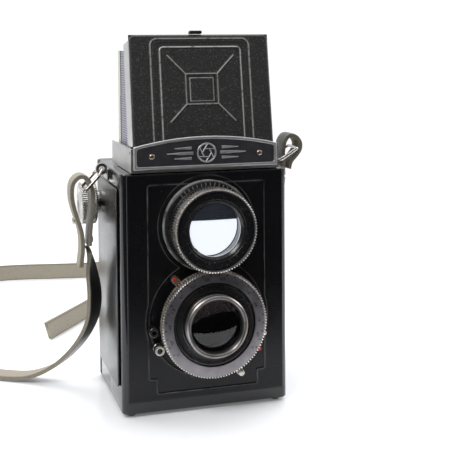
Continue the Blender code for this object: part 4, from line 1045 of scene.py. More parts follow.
# ---------------------------------------------------------------------------
# Nameplate: a pressed strip with an arched top, a black field, a raised bright border and, in the middle, a
# plain ornament of aperture blades between tapering bars. A domed rivet holds it at each end.
NAME_LOW, NAME_HIGH = cad_span("nameplate")
NAME_HALF = NAME_HIGH.x
CORNER_HEIGHT = 121.8 * MM
CROWN = NAME_HIGH.z
SAGITTA = CROWN - CORNER_HEIGHT
ARCH_RADIUS = (NAME_HALF**2 + SAGITTA**2) / (2 * SAGITTA)
BORDER = 1.4 * MM
ORNAMENT_AT = (0.0, 118.2 * MM)
BLADES = 6


def arch_top(x):
    """Height of the plate's upper edge: an arc through both corners and the crown."""
    return CROWN - ARCH_RADIUS + np.sqrt(ARCH_RADIUS**2 - x**2)


def ornament(x, z):
    """1 where the ornament is raised: a ring of aperture blades, and bars that taper away on both sides."""
    dx, dz = x - ORNAMENT_AT[0], z - ORNAMENT_AT[1]
    radius, angle = np.hypot(dx, dz), np.arctan2(dz, dx)
    ring = np.clip(1.6 - np.abs(radius - 4.3 * MM) / (0.34 * MM), 0, 1)
    sector = 2 * math.pi / BLADES
    hole = 1.9 * MM / np.cos((angle % sector) - sector / 2)
    opening = np.clip(1.5 - np.abs(radius - hole) / (0.24 * MM), 0, 1)
    blades = np.zeros_like(radius)
    for blade in range(BLADES):
        turn = blade * sector
        start = np.array([math.cos(turn), math.sin(turn)]) * 1.9 * MM / math.cos(sector / 2)
        way = np.array([math.cos(turn + 2.0), math.sin(turn + 2.0)])
        along = (dx - start[0]) * -way[0] + (dz - start[1]) * -way[1]
        aside = np.abs((dx - start[0]) * way[1] - (dz - start[1]) * way[0])
        spoke = np.clip(1.5 - aside / (0.2 * MM), 0, 1) * (along > 0) * (radius < 4.3 * MM)
        blades = np.maximum(blades, spoke)
    rosette = np.maximum(np.maximum(ring, opening), blades) * (radius < 4.9 * MM)
    bars = np.zeros_like(radius)
    for row, reach in ((-1, 15.5), (0, 19.0), (1, 15.5)):
        level = np.abs(dz - row * 2.4 * MM)
        taper = 0.55 * MM * np.clip((reach * MM - np.abs(dx)) / (8 * MM), 0, 1)
        inside = (np.abs(dx) > 6.4 * MM + abs(row) * 0.8 * MM) & (np.abs(dx) < reach * MM)
        bars = np.maximum(bars, np.clip(1.2 + (taper - level) / (0.2 * MM), 0, 1) * inside)
    return np.maximum(rosette, bars)


def plate_coordinates(u, v):
    """Turns the share of the height v into a height, so that the grid's top row follows the arch."""
    return NAME_LOW.z + v * (arch_top(u) - NAME_LOW.z)


def name_raised(u, v):
    z = plate_coordinates(u, v)
    edge = np.minimum(np.minimum(NAME_HALF - np.abs(u), z - NAME_LOW.z), arch_top(u) - z)
    corner = box_distance(u, z, (-NAME_HALF + BORDER, NAME_LOW.z + BORDER), (NAME_HALF - BORDER, CROWN), 1.1 * MM)
    roof = box_distance(u, z - arch_top(u), (-NAME_HALF + BORDER, -20 * MM), (NAME_HALF - BORDER, -BORDER), 1.1 * MM)
    field = np.maximum(corner, roof)
    border = np.clip(0.5 + field / (0.3 * MM), 0, 1)
    return np.maximum(border, ornament(u, z) * (edge > BORDER))


def name_height(u, v):
    z = plate_coordinates(u, v)
    edge = np.minimum(np.minimum(NAME_HALF - np.abs(u), z - NAME_LOW.z), arch_top(u) - z)
    rounding = 0.3 * MM * (1 - np.clip(edge / (0.5 * MM), 0, 1)) ** 2
    return name_raised(u, v) * 0.35 * MM - rounding


NAME_FACE = FRONT_FACE - 1.0 * MM
nameplate = relief_sheet(
    "name_strip",
    np.linspace(-NAME_HALF, NAME_HALF, 440),
    np.linspace(0, 1, 96),
    name_height,
    0.75 * MM,
    lambda u, v, rise: np.stack([u, NAME_FACE - rise, plate_coordinates(u, v)], -1),
    attributes={"raised": name_raised},
)
name_finish = Finish("black_and_silver", {"Base Color": (0.03, 0.03, 0.035), "Roughness": 0.4})
name_place = name_finish.place()
raised = name_finish.attribute("raised").above(0.5, 0.4)
name_wear = name_finish.noise(name_place, 260, 4, 0.6)
pits = name_finish.noise(name_place, 1500, 2)
name_finish.set(
    {
        "Base Color": name_finish.blend(
            raised,
            name_finish.blend(name_wear, (0.018, 0.018, 0.022), (0.05, 0.05, 0.058)),
            name_finish.blend(name_wear, (0.42, 0.41, 0.41), (0.7, 0.69, 0.69)),
        ),
        "Metallic": raised * 0.75,
        "Roughness": name_wear * 0.25 + 0.3,
        "Normal": name_finish.relief(pits, 0.00003, 0.4),
    }
)
fitted(nameplate, "root", "nameplate_metal", name_finish, "nameplate")
for side in (-1, 1):
    rivet = spun(
        f"name_rivet_{'left' if side < 0 else 'right'}",
        [(0, 0.6), (1.4, 0.6), (1.4, 0.95), (1.1, 1.25), (0.6, 1.45), (0, 1.55)],
        (side * 26 * MM, FRONT_FACE, 117.2 * MM),
        FORWARD,
        40,
        0.15,
    )
    fitted(rivet, "root", "nameplate_metal", brass)


# ---------------------------------------------------------------------------
# Hood base: a folded frame of bare sheet, streaked and stained, that holds the ground glass. The ledge below
# it is a narrow grey lip on top of the casting.
keep(dull, "hood_base_frame")
frosted = Finish("ground_glass", {"Base Color": (0.72, 0.75, 0.78), "Roughness": 0.55})
frost_place = frosted.place()
rules = [abs(axis * (1 / 0.0112)) for axis in frosted.axes(frost_place)[:2]]
grid_lines = None
for rule in rules:
    line = rule.beside_steps().above(0.485, 0.01)
    grid_lines = line if grid_lines is None else grid_lines.either(line)
frosted.set(
    {
        "Base Color": frosted.blend(grid_lines, (0.72, 0.75, 0.78), (0.3, 0.31, 0.33)),
        "Roughness": frosted.noise(frost_place, 2500, 2) * 0.3 + 0.4,
        "Transmission Weight": 0.35,
    }
)
keep(frosted, "viewing_screen")
mirror = Finish("front_silvered", {"Base Color": (0.86, 0.87, 0.88), "Metallic": 1.0, "Roughness": 0.03})
mirror.set({"Roughness": mirror.noise(mirror.place(), 60, 3) * 0.06})
keep(mirror, "reflex_mirror")


# ---------------------------------------------------------------------------
# Hood lid: a pressed steel sheet in black crackle enamel. Two raised frames run round it and four ribs run
# from the corners of the square finder flap; bright flanges are folded back along its sides.
LID = joint_at["lid_fold"]
LEAN = math.radians(9.5)
LID_HALF = 34.2 * MM
LID_LENGTH = 55.2 * MM
FLAP = (6.2 * MM, 22.9 * MM, 34.9 * MM)
LID_FACE = -1.2 * MM


def lid_place(u, v, rise):
    """A point across and along the leaning lid, raised in front of its face."""
    depth = LID_FACE - rise
    y = LID[1] + depth * math.cos(LEAN) + v * math.sin(LEAN)
    z = LID[2] - depth * math.sin(LEAN) + v * math.cos(LEAN)
    return np.stack([u, y, z], -1)


def segment_distance(u, v, start, end):
    """Distance to a straight stroke from start to end."""
    du, dv = end[0] - start[0], end[1] - start[1]
    share = np.clip(((u - start[0]) * du + (v - start[1]) * dv) / (du**2 + dv**2), 0, 1)
    return np.hypot(u - start[0] - share * du, v - start[1] - share * dv)


def lid_ribs(u, v):
    """How strongly each point of the lid lies on one of its pressed lines."""
    outer = np.abs(box_distance(u, v, (-24.2 * MM, -12 * MM), (24.2 * MM, 53.2 * MM), 3.4 * MM))
    second = np.abs(box_distance(u, v, (-22.7 * MM, -12 * MM), (22.7 * MM, 51.8 * MM), 2.4 * MM))
    inner = np.abs(box_distance(u, v, (-19.8 * MM, -12 * MM), (19.8 * MM, 49.2 * MM), 2.0 * MM))
    square = np.abs(box_distance(u, v, (-7.8 * MM, 21.9 * MM), (7.8 * MM, 36.3 * MM), 0.8 * MM))
    lines = 0.85 * ridge(outer, 1.1 * MM)
    lines = np.maximum(lines, 0.45 * ridge(second, 0.7 * MM))
    lines = np.maximum(lines, ridge(inner, 1.0 * MM))
    lines = np.maximum(lines, 0.8 * ridge(square, 1.0 * MM))
    for side in (-1, 1):
        for start, end in (((7.8, 36.3), (16.2, 45.1)), ((7.8, 21.9), (15.8, 13.6))):
            stroke = segment_distance(
                u, v, (side * start[0] * MM, start[1] * MM), (side * end[0] * MM, end[1] * MM)
            )
            lines = np.maximum(lines, 0.95 * ridge(stroke, 1.0 * MM))
    return lines * (v > 1.5 * MM)


def lid_height(u, v):
    edge = -box_distance(u, v, (-LID_HALF, 0), (LID_HALF, LID_LENGTH), 2.5 * MM)
    fold = np.clip(1 - edge / (1.1 * MM), 0, 1)
    past_panel = box_distance(u, v, (-19.8 * MM, -12 * MM), (19.8 * MM, 49.2 * MM), 2 * MM)
    panel = np.clip(0.5 - past_panel / (0.8 * MM), 0, 1)
    return lid_ribs(u, v) * 0.42 * MM + panel * 0.18 * MM - fold**2 * 0.8 * MM


crackle = Finish("crackle_enamel", {"Base Color": (0.03, 0.03, 0.03), "Roughness": 0.45})
crackle_place = crackle.place()
grit = crackle.noise(crackle_place, 1300, 5, 0.7)
lumps = crackle.cells(crackle_place, 1500, "SMOOTH_F1")
on_rib = crackle.attribute("rib")
rubbed_bare = on_rib.above(0.62, 0.5) * crackle.noise(crackle_place, 500, 4).above(0.36, 0.22)
salt = crackle.noise(crackle_place, 1900, 3).above(0.63, 0.1)
crackle.set(
    {
        "Base Color": crackle.blend(
            rubbed_bare.either(salt * 0.22),
            crackle.blend(grit, (0.012, 0.012, 0.012), (0.04, 0.039, 0.038)),
            (0.52, 0.51, 0.49),
        ),
        "Metallic": rubbed_bare * 0.5,
        "Roughness": grit * 0.3 + 0.3,
        "Normal": crackle.relief(grit * 0.6 + lumps * 0.5, 0.00012, 0.55),
    }
)
flap_half, flap_low, flap_high = FLAP
gap = 0.3 * MM
across_lid = np.concatenate(
    [
        np.linspace(-LID_HALF, -flap_half - gap, 84)[:-1],
        np.linspace(-flap_half - gap, flap_half + gap, 41),
        np.linspace(flap_half + gap, LID_HALF, 84)[1:],
    ]
)
along_lid = np.concatenate(
    [
        np.linspace(0.4 * MM, flap_low - gap, 56)[:-1],
        np.linspace(flap_low - gap, flap_high + gap, 41),
        np.linspace(flap_high + gap, LID_LENGTH, 56)[1:],
    ]
)
lid = relief_sheet(
    "lid_sheet",
    across_lid,
    along_lid,
    lid_height,
    0.6 * MM,
    lid_place,
    hole=(-flap_half - gap, flap_half + gap, flap_low - gap, flap_high + gap),
    attributes={"rib": lid_ribs},
)
fitted(lid, "lid", "hood_metal", crackle, "hood_lid")


def past_flap(u, v):
    return box_distance(u, v, (-flap_half, flap_low), (flap_half, flap_high))


def flap_rim(u, v):
    """The flap's rubbed edge: a thinner line than the frame round it."""
    return 0.8 * ridge(np.abs(past_flap(u, v) + 0.5 * MM), 1.0 * MM)


flap = relief_sheet(
    "flap_sheet",
    np.linspace(-flap_half, flap_half, 40),
    np.linspace(flap_low, flap_high, 40),
    lambda u, v: 0.1 * MM - 0.25 * MM * np.clip(1 + past_flap(u, v) / (0.7 * MM), 0, 1) ** 2,
    0.6 * MM,
    lid_place,
    attributes={"rib": flap_rim},
)
fitted(flap, "flap", "hood_metal", crackle, "finder_flap")


def folded_strip(name, corners, thick, rim, u_at, body, finish, slot="hood_metal"):
    """A flat strip in the plane across = u_at; its corners are (along the face's normal, along the lid)."""

    def place(back, v, rise):
        spot = lid_place(np.full_like(back, u_at), v, LID_FACE - back)
        spot[..., 0] += rise
        return spot

    return fitted(slab(name, corners, 0.8, thick, rim, place, 3), body, slot, finish)


bright_sheet = Finish("bare_sheet", {"Base Color": (0.6, 0.6, 0.59), "Metallic": 1.0, "Roughness": 0.35})
sheet_place = bright_sheet.place()
sheet_spots = bright_sheet.noise(sheet_place, 120, 5, 0.65)
bright_sheet.set(
    {
        "Base Color": bright_sheet.blend(sheet_spots, (0.42, 0.41, 0.4), (0.75, 0.75, 0.74)),
        "Roughness": sheet_spots * 0.25 + 0.25,
    }
)
for side in (-1, 1):
    name = f"lid_flange_{'left' if side < 0 else 'right'}"
    outer = side * LID_HALF if side > 0 else -LID_HALF + 0.8 * MM
    folded_strip(name, rectangle((-0.7, 3.0), (12.0, 52.8)), 0.8, 0.2, outer, "lid", bright_sheet)
rolled_lip = slab(
    "lid_top_lip",
    rectangle((-31.8, -0.6), (31.8, 3.4)),
    0.6,
    0.8,
    0.25,
    lambda u, back, rise: lid_place(u, LID_LENGTH + rise, LID_FACE - back),
    3,
)
fitted(rolled_lip, "lid", "hood_metal", crackle)


def rolled_rod(name, length_from, length_to, centre, axis, body, finish, nodes=()):
    """The rolled edge of a folding sheet, with a thin pin at each end."""
    outline = [
        (0, length_from - 1.3),
        (0.55, length_from - 1.3),
        (0.55, length_from),
        (0.9, length_from),
        (0.9, length_to),
        (0.55, length_to),
        (0.55, length_to + 1.3),
        (0, length_to + 1.3),
    ]
    return fitted(spun(name, outline, centre, axis, 32, 0.1), body, "hood_metal", finish, *nodes)


rolled_rod("lid_rolled_edge", -34.2, 34.2, tuple(LID), (1, 0, 0), "lid", crackle)
catch = slab(
    "lid_catch_button",
    rectangle((-4.8, -1.6), (1.4, 1.6)),
    0.6,
    1.5,
    0.4,
    lambda u, back, rise: lid_place(u, LID_LENGTH + 1.9 * MM + rise, LID_FACE - back),
    4,
)
fitted(catch, "lid", "black_fittings", satin, "lid_catch")


# ---------------------------------------------------------------------------
# Side and rear panels of the hood: thin sheet, each with a rolled hinge edge in the base. The side panels are
# ribbed across their front part, black inside and have a bent rear edge.
ribbed = Finish("ribbed_silver_sheet", {"Base Color": (0.6, 0.6, 0.64), "Metallic": 1.0, "Roughness": 0.4})
ribbed_place = ribbed.place()
soot = ribbed.noise(ribbed_place, 140, 5, 0.6)
outside = ribbed.attribute("outside").above(0.5, 0.2)
# Painted shadow: a dark strip just behind the ribs stands in for the shadow of the step there.
painted_step_shadow = ribbed.attribute("gap").above(0.5, 0.2)
# Painted shade: the colour follows each rib's wave, lighter on its crest and darker in its trough.
painted_rib_shading = ribbed.blend(ribbed.attribute("rib"), (0.1, 0.1, 0.14), (0.36, 0.35, 0.43))
rear_strip = ribbed.blend(soot, (0.5, 0.5, 0.42), (0.75, 0.75, 0.66))
lacquered = ribbed.blend(ribbed.attribute("front").above(0.5, 0.2), rear_strip, painted_rib_shading)
ribbed.set(
    {
        "Base Color": ribbed.blend(outside * (1 - painted_step_shadow), (0.02, 0.02, 0.02), lacquered),
        "Metallic": outside * (1 - painted_step_shadow) * 0.4,
        "Roughness": soot * 0.2 + 0.35,
    }
)
RIB_PITCH = 1.15 * MM
SHEET = 0.5 * MM
RIBS_END = 36.0 * MM  # depth where the ribs stop; behind them lies a dark strip of painted shadow that stands in for the step's shadow
STEP_SHADOW_WIDTH = 3.0 * MM
PANEL_TOP = cad_span("hood_left_panel")[1].z


def side_panel(name, side, hinge, back_depth, body, node):
    """One side panel: a ruled sheet whose front edge runs just behind the lid, waved into fine ribs."""
    v, s = np.meshgrid(np.linspace(0, 1, 170), np.linspace(0, 1, 48), indexing="ij")
    height = hinge[2] + v * (PANEL_TOP - hinge[2])
    front = np.maximum(4.9 * MM, 4.6 * MM + (height - LID[2]) * math.tan(LEAN))
    depth = front + s * (back_depth * MM - front)
    in_front = depth < RIBS_END
    # The band just behind the ribs, which carries the painted step shadow.
    step_shadow_share = ((depth > RIBS_END) & (depth < RIBS_END + STEP_SHADOW_WIDTH)).astype(float)
    ribs_on = np.clip((RIBS_END - depth) / (1.5 * MM), 0, 1) * np.clip(v * 30 - 2, 0, 1) * np.clip(30 - v * 30, 0, 1)
    wave = 0.16 * MM * np.sin(height / RIB_PITCH * 2 * math.pi) * ribs_on
    faces = []
    for offset, sign in ((0.5, 1), (-0.5, 1)):
        x = hinge[0] + side * (offset * SHEET + sign * wave)
        faces.append(np.stack([x, FRONT_FACE + depth, height], -1))
    outer, inner = faces
    rims = [np.stack([outer[0], inner[0]]), np.stack([outer[-1], inner[-1]])]
    rims += [np.stack([outer[:, 0], inner[:, 0]]), np.stack([outer[:, -1], inner[:, -1]])]
    marks = [np.ones(outer.shape[:2]), np.zeros(inner.shape[:2])] + [np.full(r.shape[:2], 0.8) for r in rims]
    layer = np.concatenate([m.ravel() for m in marks])
    blank = np.zeros(sum(m.size for m in marks) - outer[..., 0].size)
    # The rib wave's phase, carried to the finish for the painted rib shading.
    painted_rib_shading_layer = np.concatenate([(0.5 + 0.5 * np.sin(height / RIB_PITCH * 2 * math.pi) * in_front).ravel(), blank])
    step_shadow_layer = np.concatenate([step_shadow_share.ravel(), blank])
    front_layer = np.concatenate([in_front.astype(float).ravel(), blank])
    layers = {"outside": layer, "rib": painted_rib_shading_layer, "gap": step_shadow_layer, "front": front_layer}
    sheet = patches(name + "_sheet", [outer, inner, *rims], 40, layers)
    fitted(sheet, body, "hood_metal", ribbed, node)
    bend = slab(
        name + "_bent_edge",
        rectangle((0, hinge[2] / MM + 3), (3.0, PANEL_TOP / MM - 0.2)),
        0.5,
        0.5,
        0.15,
        lambda u, z, rise: np.stack([hinge[0] - side * u, FRONT_FACE + (back_depth - 0.1) * MM + rise, z], -1),
        3,
    )
    fitted(bend, body, "hood_metal", bright_sheet)
    rolled_rod(name + "_rolled_edge", 4.9, 45.4, (hinge[0], FRONT_FACE, hinge[2]), (0, 1, 0), body, bright_sheet)


side_panel("left_panel", -1, joint_at["left_panel_fold"], 44.3, "left_panel", "hood_left_panel")
side_panel("right_panel", 1, joint_at["right_panel_fold"], 45.3, "right_panel", "hood_right_panel")
REAR = joint_at["rear_panel_fold"]
rear_high = cad_span("hood_rear_panel")[1]


def rear_line(u, v):
    """1 on the raised line that frames the rear panel."""
    off_line = np.abs(box_distance(u, v, (-23 * MM, 121 * MM), (23 * MM, rear_high.z - 5 * MM), 3 * MM))
    return ridge(off_line, 1.2 * MM)


rear = relief_sheet(
    "rear_sheet",
    np.linspace(-28.4 * MM, 28.4 * MM, 150),
    np.linspace(REAR[2], rear_high.z, 110),
    lambda u, v: 0.3 * MM * rear_line(u, v),
    0.5 * MM,
    lambda u, v, rise: np.stack([u, REAR[1] + 0.25 * MM + rise, v], -1),
    attributes={"rib": rear_line},
)
fitted(rear, "rear_panel", "hood_metal", crackle, "hood_rear_panel")
rolled_rod("rear_rolled_edge", -28.4, 28.4, tuple(REAR), (1, 0, 0), "rear_panel", bright_sheet)


# ---------------------------------------------------------------------------
# Magnifier: a round glass in a black frame with an arm, folded down against the left panel.
keep(satin, "magnifier_frame")
MAG_LOW, MAG_HIGH = cad_span("magnifier_lens")
mag_centre = tuple((MAG_LOW + MAG_HIGH) / 2)
magnifier = spun("magnifier_glass", glass_profile(11.2, 0.9, 0.45, 0.45, 0), mag_centre, (1, 0, 0), 96, 0)
fitted(magnifier, "magnifier", "optical_glass", coated, "magnifier_lens")


# ---------------------------------------------------------------------------
# Film path: two moulded spools, and the knobs outside that wind and release them. The winding knob's edge is
# knurled and its face is dished.
plastic = Finish("moulded_plastic", {"Base Color": (0.02, 0.02, 0.02), "Roughness": 0.4})
plastic.set({"Roughness": plastic.noise(plastic.place(), 400, 3) * 0.25 + 0.3})
spool_outline = [
    (0, -29.5),
    (2.7, -29.5),
    (2.7, -32.75),
    (12.2, -32.75),
    (12.2, -31.75),
    (5.5, -31.75),
    (5.5, 31.75),
    (12.2, 31.75),
    (12.2, 32.75),
    (2.7, 32.75),
    (2.7, 29.5),
    (0, 29.5),
]
for node, body in (("takeup_spool", "winding"), ("feed_spool", "feed")):
    low, high = cad_span(node)
    spool = spun(node + "_moulding", spool_outline, tuple((low + high) / 2), (1, 0, 0), 64, 0.2)
    fitted(spool, body, "spool_plastic", plastic, node)


def knurl(count, deep, low, high):
    """A wave that cuts count grooves, deep mm, into whatever lies outside low radius between two heights."""

    def wave(radius, height, turn):
        grooves = 0.5 - 0.5 * np.cos(turn * count)
        inside = (radius > low * MM) & (height > high[0] * MM) & (height < high[1] * MM)
        return radius - inside * grooves * deep * MM

    return wave


KNOB_AT = joint_at["film_winding"]
knob = spun(
    "winding_knob_turned",
    [
        (0, 30.3),
        (2.0, 30.3),
        (2.0, 42.0),
        (6.0, 42.0),
        (6.0, 43.4),
        (10.2, 44.0),
        (10.6, 44.6),
        (10.6, 48.0),
        (10.6, 51.2),
        (10.1, 51.8),
        (8.2, 51.8),
        (7.6, 51.2),
        (3.0, 51.0),
        (0, 51.2),
    ],
    (0, KNOB_AT[1], KNOB_AT[2]),
    (-1, 0, 0),
    320,
    0.2,
    wave=knurl(64, 0.28, 10.3, (44.4, 51.4)),
)
fitted(knob, "winding", "polished_chrome", steel, "winding_knob")
for node, body, low_face, rise in (
    ("takeup_spool_knob", "takeup_knob", 42.0, 2.6),
    ("feed_spool_knob", "feed_knob", 40.8, 1.5),
):
    low, high = cad_span(node)
    centre = (low + high) / 2
    pull = spun(
        node + "_turned",
        [
            (0, 30.3),
            (2.0, 30.3),
            (2.0, low_face),
            (6.5, low_face),
            (6.5, low_face + rise - 0.4),
            (6.0, low_face + rise),
            (2.0, low_face + rise - 0.1),
            (0, low_face + rise - 0.3),
        ],
        (0, centre.y, centre.z),
        (1, 0, 0),
        240,
        0.2,
        wave=knurl(40, 0.25, 6.2, (low_face - 0.2, low_face + rise - 0.3)),
    )
    fitted(pull, body, "polished_chrome", steel, node)


# ---------------------------------------------------------------------------
# Neck strap: two lengths of thick cut leather, dark and smooth outside, taupe suede inside, with pale raw
# edges. Each end is a loop folded through a bent wire ring and held with rivets; the long one is threaded
# through a buckle behind the camera.
STRAP_WIDTH = 11.0 * MM
STRAP_THICK = 2.2 * MM
ALONG_Y = (0, 1, 0)
ALONG_X = (1, 0, 0)
ON_EDGE = (0, 0, 1)
LEFT_LOOP = [
    (-50.7, 33, 72, ALONG_Y),
    (-50.2, 33, 80, ALONG_Y),
    (-49.2, 33, 90, ALONG_Y),
    (-49.0, 33, 98, ALONG_Y),
    (-51.2, 33, 104, ALONG_Y),
    (-55.0, 33, 105.5, ALONG_Y),
    (-58.4, 33, 102, ALONG_Y),
    (-58.8, 33, 95, ALONG_Y),
    (-57.0, 33, 87, ALONG_Y),
    (-54.6, 33, 79, ALONG_Y),
    (-54.0, 33, 71, ALONG_Y),
    (-55.0, 33, 62, ALONG_Y),
]
RIGHT_LOOP = [
    (48.4, 33, 102, ALONG_Y),
    (48.3, 33, 108, ALONG_Y),
    (48.4, 33, 114, ALONG_Y),
    (49.3, 33, 119.0, ALONG_Y),
    (51.8, 33, 121.8, ALONG_Y),
    (55.2, 33, 121.2, ALONG_Y),
    (57.5, 33, 118.2, ALONG_Y),
    (57.3, 33, 114.6, ALONG_Y),
    (55.0, 33, 111.4, ALONG_Y),
    (52.5, 33, 108.6, ALONG_Y),
    (51.5, 33, 105.0, ALONG_Y),
]
LONG_STRAP = [
    (-50.6, 33.5, 69.3, ALONG_Y),
    (-49.2, 35.4, 59.5, (0.45, 0.9, 0)),
    (-47.3, 37.8, 46.8, (0.62, 0.78, 0)),
    (-47.5, 41.0, 35.1, (0.62, 0.78, 0)),
    (-50.7, 46.0, 24.4, (0.6, 0.8, 0)),
    (-56.5, 54.2, 13.5, (0.6, 0.8, 0)),
    (-65.0, 63.0, 4.0, (0.58, 0.82, 0)),
    (-75.8, 70.2, -1.5, (0.5, 0.86, 0)),
    (-87.1, 77.4, -2.8, (0.6, 0.8, 0)),
    (-99.4, 87.6, -2.8, (0.72, 0.7, 0)),
    (-109.6, 104.0, -2.3, (0.9, 0.4, 0.1)),
    (-114.8, 126.6, -0.9, (0.93, 0.1, 0.38)),
    (-115.8, 152.3, 0.5, (0.7, 0, 0.72)),
    (-114.8, 178.9, 1.7, (0.3, 0, 0.95)),
    (-111.7, 206.6, 1.8, ON_EDGE),
    (-107.6, 234.3, 1.8, ON_EDGE),
    (-102.5, 261.0, 1.8, ON_EDGE),
    (-94.2, 282.5, 1.8, ON_EDGE),
    (-78.9, 293.8, 1.8, ON_EDGE),
    (-60.4, 293.8, 1.8, ON_EDGE),
    (-39.9, 289.7, 1.8, ON_EDGE),
    (-17.3, 285.6, 1.8, ON_EDGE),
    (3.2, 283.6, 1.8, ON_EDGE),
    (18.6, 279.5, 1.8, ON_EDGE),
    (26.3, 269.2, 1.8, ON_EDGE),
    (24.8, 256.9, 1.8, ON_EDGE),
    (17.6, 243.6, 1.8, ON_EDGE),
    (8.3, 230.2, 1.8, ON_EDGE),
    (-1.9, 216.9, 1.8, ON_EDGE),
    (-15.3, 198.4, 1.8, ON_EDGE),
    (-29.6, 177.9, 1.8, ON_EDGE),
    (-44.0, 157.4, 1.8, ON_EDGE),
    (-59.4, 135.8, 1.8, ON_EDGE),
]
SHORT_STRAP = [
    (48.4, 33, 101.7, ALONG_Y),
    (48.4, 35.5, 90, (0.1, 1, 0)),
    (48.6, 40.5, 76, (0.45, 0.9, 0)),
    (50.3, 47.5, 59.5, (0.7, 0.7, 0.1)),
    (52.5, 59.0, 41.5, (0.9, 0.4, 0)),
    (54.4, 70.5, 24.4, ALONG_X),
    (55.8, 82.4, 10.3, ALONG_X),
    (56.4, 94.8, 1.8, ALONG_X),
    (56.4, 108.1, -1.6, ALONG_X),
    (55.7, 123.5, -2.5, (1, 0.1, 0)),
    (53.1, 139.9, -1.4, (0.95, 0.3, 0.25)),
    (46.3, 156.4, 0.5, (0.6, 0.5, 0.8)),
    (37.1, 169.7, 1.6, ON_EDGE),
    (27.8, 183.0, 1.8, ON_EDGE),
    (22.2, 198.4, 1.8, ON_EDGE),
    (20.6, 213.8, 1.8, ON_EDGE),
    (21.7, 226.1, 1.8, ON_EDGE),
]
leather_strap = Finish("strap_leather", {"Base Color": (0.05, 0.045, 0.04), "Roughness": 0.45})
strap_place = leather_strap.place()
face_share = leather_strap.attribute("face")
edge_share = leather_strap.attribute("edge").above(0.5, 0.3)
fibres = leather_strap.noise(strap_place, 900, 5, 0.7)
scuffs = leather_strap.noise(strap_place, 160, 5, 0.65)
smooth_side = leather_strap.blend(scuffs, (0.012, 0.011, 0.011), (0.05, 0.047, 0.044))
suede_side = leather_strap.blend(fibres, (0.2, 0.18, 0.14), (0.4, 0.36, 0.29))
raw_edge = leather_strap.blend(fibres, (0.12, 0.105, 0.08), (0.3, 0.27, 0.21))
inner_side = face_share.above(0.5, 0.1)
both_sides = leather_strap.blend(inner_side, smooth_side, suede_side)
leather_strap.set(
    {
        "Base Color": leather_strap.blend(edge_share, both_sides, raw_edge),
        "Roughness": inner_side * 0.4 + edge_share * 0.2 + scuffs * 0.2 + 0.25,
        "Normal": leather_strap.relief(fibres, 0.00015, 0.35),
    }
)


def smooth_route(route, per_span=14):
    """A smooth curve through the route's points: places and the strap's width direction along it."""
    knots = np.array([(x * MM, FRONT_FACE + depth * MM, z * MM) for x, depth, z, _ in route])
    widths = np.array([np.array(way) / np.linalg.norm(way) for *_, way in route])
    count = len(route)
    t = np.linspace(0, count - 1, (count - 1) * per_span + 1)
    first = np.minimum(t.astype(int), count - 2)
    share = (t - first)[:, None]

    def curve(values):
        a, b, c, d = (values[np.clip(first + k, 0, count - 1)] for k in (-1, 0, 1, 2))
        cubic = (3 * b - a - 3 * c + d) * share**3
        return 0.5 * (2 * b + (c - a) * share + (2 * a - 5 * b + 4 * c - d) * share**2 + cubic)

    return curve(knots), curve(widths)


def strap(name, route, flip=False, slant=0.0, smooth_until=1.0):
    """A leather strap: a flat section with rounded edges carried along its route. Returns it and its line.

    Past the share smooth_until of its route the smooth side is worn down to suede too.
    """
    line, widths = smooth_route(route)
    along = np.gradient(line, axis=0)
    along /= np.linalg.norm(along, axis=1, keepdims=True)
    side = widths - along * (widths * along).sum(axis=1, keepdims=True)
    side /= np.linalg.norm(side, axis=1, keepdims=True)
    face = np.cross(along, side)
    half_w, half_t, soft = STRAP_WIDTH / 2, STRAP_THICK / 2, 0.55 * MM
    section = eased([(-half_w, -half_t), (half_w, -half_t), (half_w, half_t), (-half_w, half_t)], soft, 5)
    extra = np.linspace(-0.8, 0.8, 7)[:, None] * (half_w, 0)
    lower, upper = section[:6], section[12:18]
    section = np.vstack([lower, extra + (0, -half_t), section[6:12], upper, extra[::-1] + (0, half_t), section[18:]])
    crown = 1 - 0.12 * (section[:, 0] / half_w) ** 2 * (np.abs(section[:, 1]) > half_t * 0.9)
    share = np.linspace(0, 1, len(line))
    lean = slant * np.clip((share - 0.985) / 0.015, 0, 1)
    points = (
        line[:, None]
        + side[:, None] * section[None, :, :1]
        + face[:, None] * (section[:, 1] * crown)[None, :, None]
        + along[:, None] * (lean[:, None] * section[None, :, 0])[..., None]
    )
    rows, columns = points.shape[:2]
    faces = grid_faces(rows, columns, 0, False, True).tolist()
    faces += [list(range(columns)), list(range((rows - 1) * columns, rows * columns))]
    under = (section[:, 1] < 0) != flip
    edge = np.abs(section[:, 0]) > half_w - 0.75 * MM
    layers = {
        "face": np.maximum(under[None, :], (share > smooth_until)[:, None]).astype(float),
        "edge": np.broadcast_to(edge, (rows, columns)).astype(float),
    }
    piece = mesh_piece(name, points, np.array(faces, dtype=object), 60, layers)
    return piece, line


left_loop, _ = strap("left_loop_leather", LEFT_LOOP)
fitted(left_loop, "left_ring", "strap_leather", leather_strap, "left_strap_loop")
right_loop, _ = strap("right_loop_leather", RIGHT_LOOP)
fitted(right_loop, "right_ring", "strap_leather", leather_strap, "right_strap_loop")
long_piece, long_line = strap("long_strap_leather", LONG_STRAP, slant=0.5, smooth_until=0.37)
fitted(long_piece, "root", "strap_leather", leather_strap, "long_strap")
short_piece, short_line = strap("short_strap_leather", SHORT_STRAP)
fitted(short_piece, "root", "strap_leather", leather_strap, "short_strap")


def on_stand(point):
    return (point[0], point[1], point[2] + STAND)


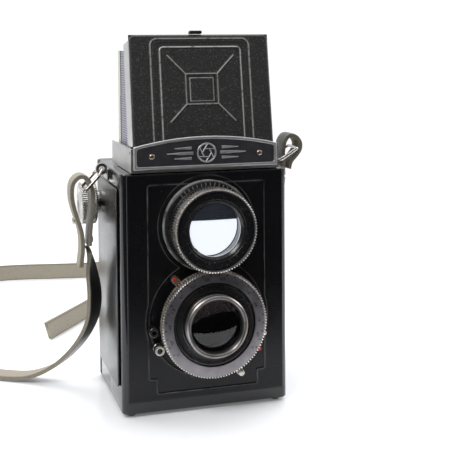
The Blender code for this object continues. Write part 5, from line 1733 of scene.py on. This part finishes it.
on_stand(long_line[0])
[on_stand(point) for point in (*long_line[:-1:4], long_line[-1])]
on_stand(short_line[0])
[on_stand(point) for point in (*short_line[:-1:4], short_line[-1])]
keep(steel, "strap_buckle", "left_strap_lug", "right_strap_lug")


def ring_wire(name, angle, pivot_at, body, node):
    """The bent wire ring: a round section carried round a hexagon with eased corners."""
    wide = STRAP_WIDTH / MM / 2 + 0.8 + 0.7
    reach, shoulder = 13.5, 3.4
    corners = [(0, -2.9), (0, 2.9), (shoulder, wide), (reach, wide), (reach, -wide), (shoulder, -wide)]
    loop = eased(np.array(corners) * MM, 1.4 * MM, 6)
    turn = math.radians(angle)
    out = np.array([math.cos(turn), 0, math.sin(turn)])
    beside = np.array([0, 1.0, 0])
    normal = np.cross(out, beside)
    line = np.asarray(pivot_at) + loop[:, :1] * out + loop[:, 1:] * beside
    along = np.roll(line, -1, 0) - np.roll(line, 1, 0)
    along /= np.linalg.norm(along, axis=1, keepdims=True)
    away = np.cross(along, normal)
    spin = np.linspace(0, 2 * math.pi, 16, endpoint=False)
    tube = line[:, None] + 0.8 * MM * (
        np.cos(spin)[None, :, None] * away[:, None] + np.sin(spin)[None, :, None] * normal[None, None]
    )
    faces = grid_faces(len(line), len(spin), 0, True, True)
    return fitted(mesh_piece(name, tube, faces, 60), body, "polished_chrome", steel, node)


ring_wire("left_ring_wire", 227, joint_at["left_ring_swing"], "left_ring", "left_strap_ring")
ring_wire("right_ring_wire", 32, joint_at["right_ring_swing"], "right_ring", "right_strap_ring")
for name, place, axis, body in (
    ("loop_rivet_low", (-49.3, 33, 74.5), (1, 0, 0), "left_ring"),
    ("loop_rivet_outer", (-57.6, 33, 84.0), (-1, 0, 0), "left_ring"),
    ("right_loop_rivet", (52.5, 33, 106.8), (1, 0, 0), "right_ring"),
):
    spot = (place[0] * MM, FRONT_FACE + place[1] * MM, place[2] * MM)
    stud = spun(name, [(0, -0.2), (2.0, -0.2), (2.0, 0.3), (1.4, 0.75), (0, 0.95)], spot, axis, 40, 0.2)
    fitted(stud, body, "polished_chrome", steel)
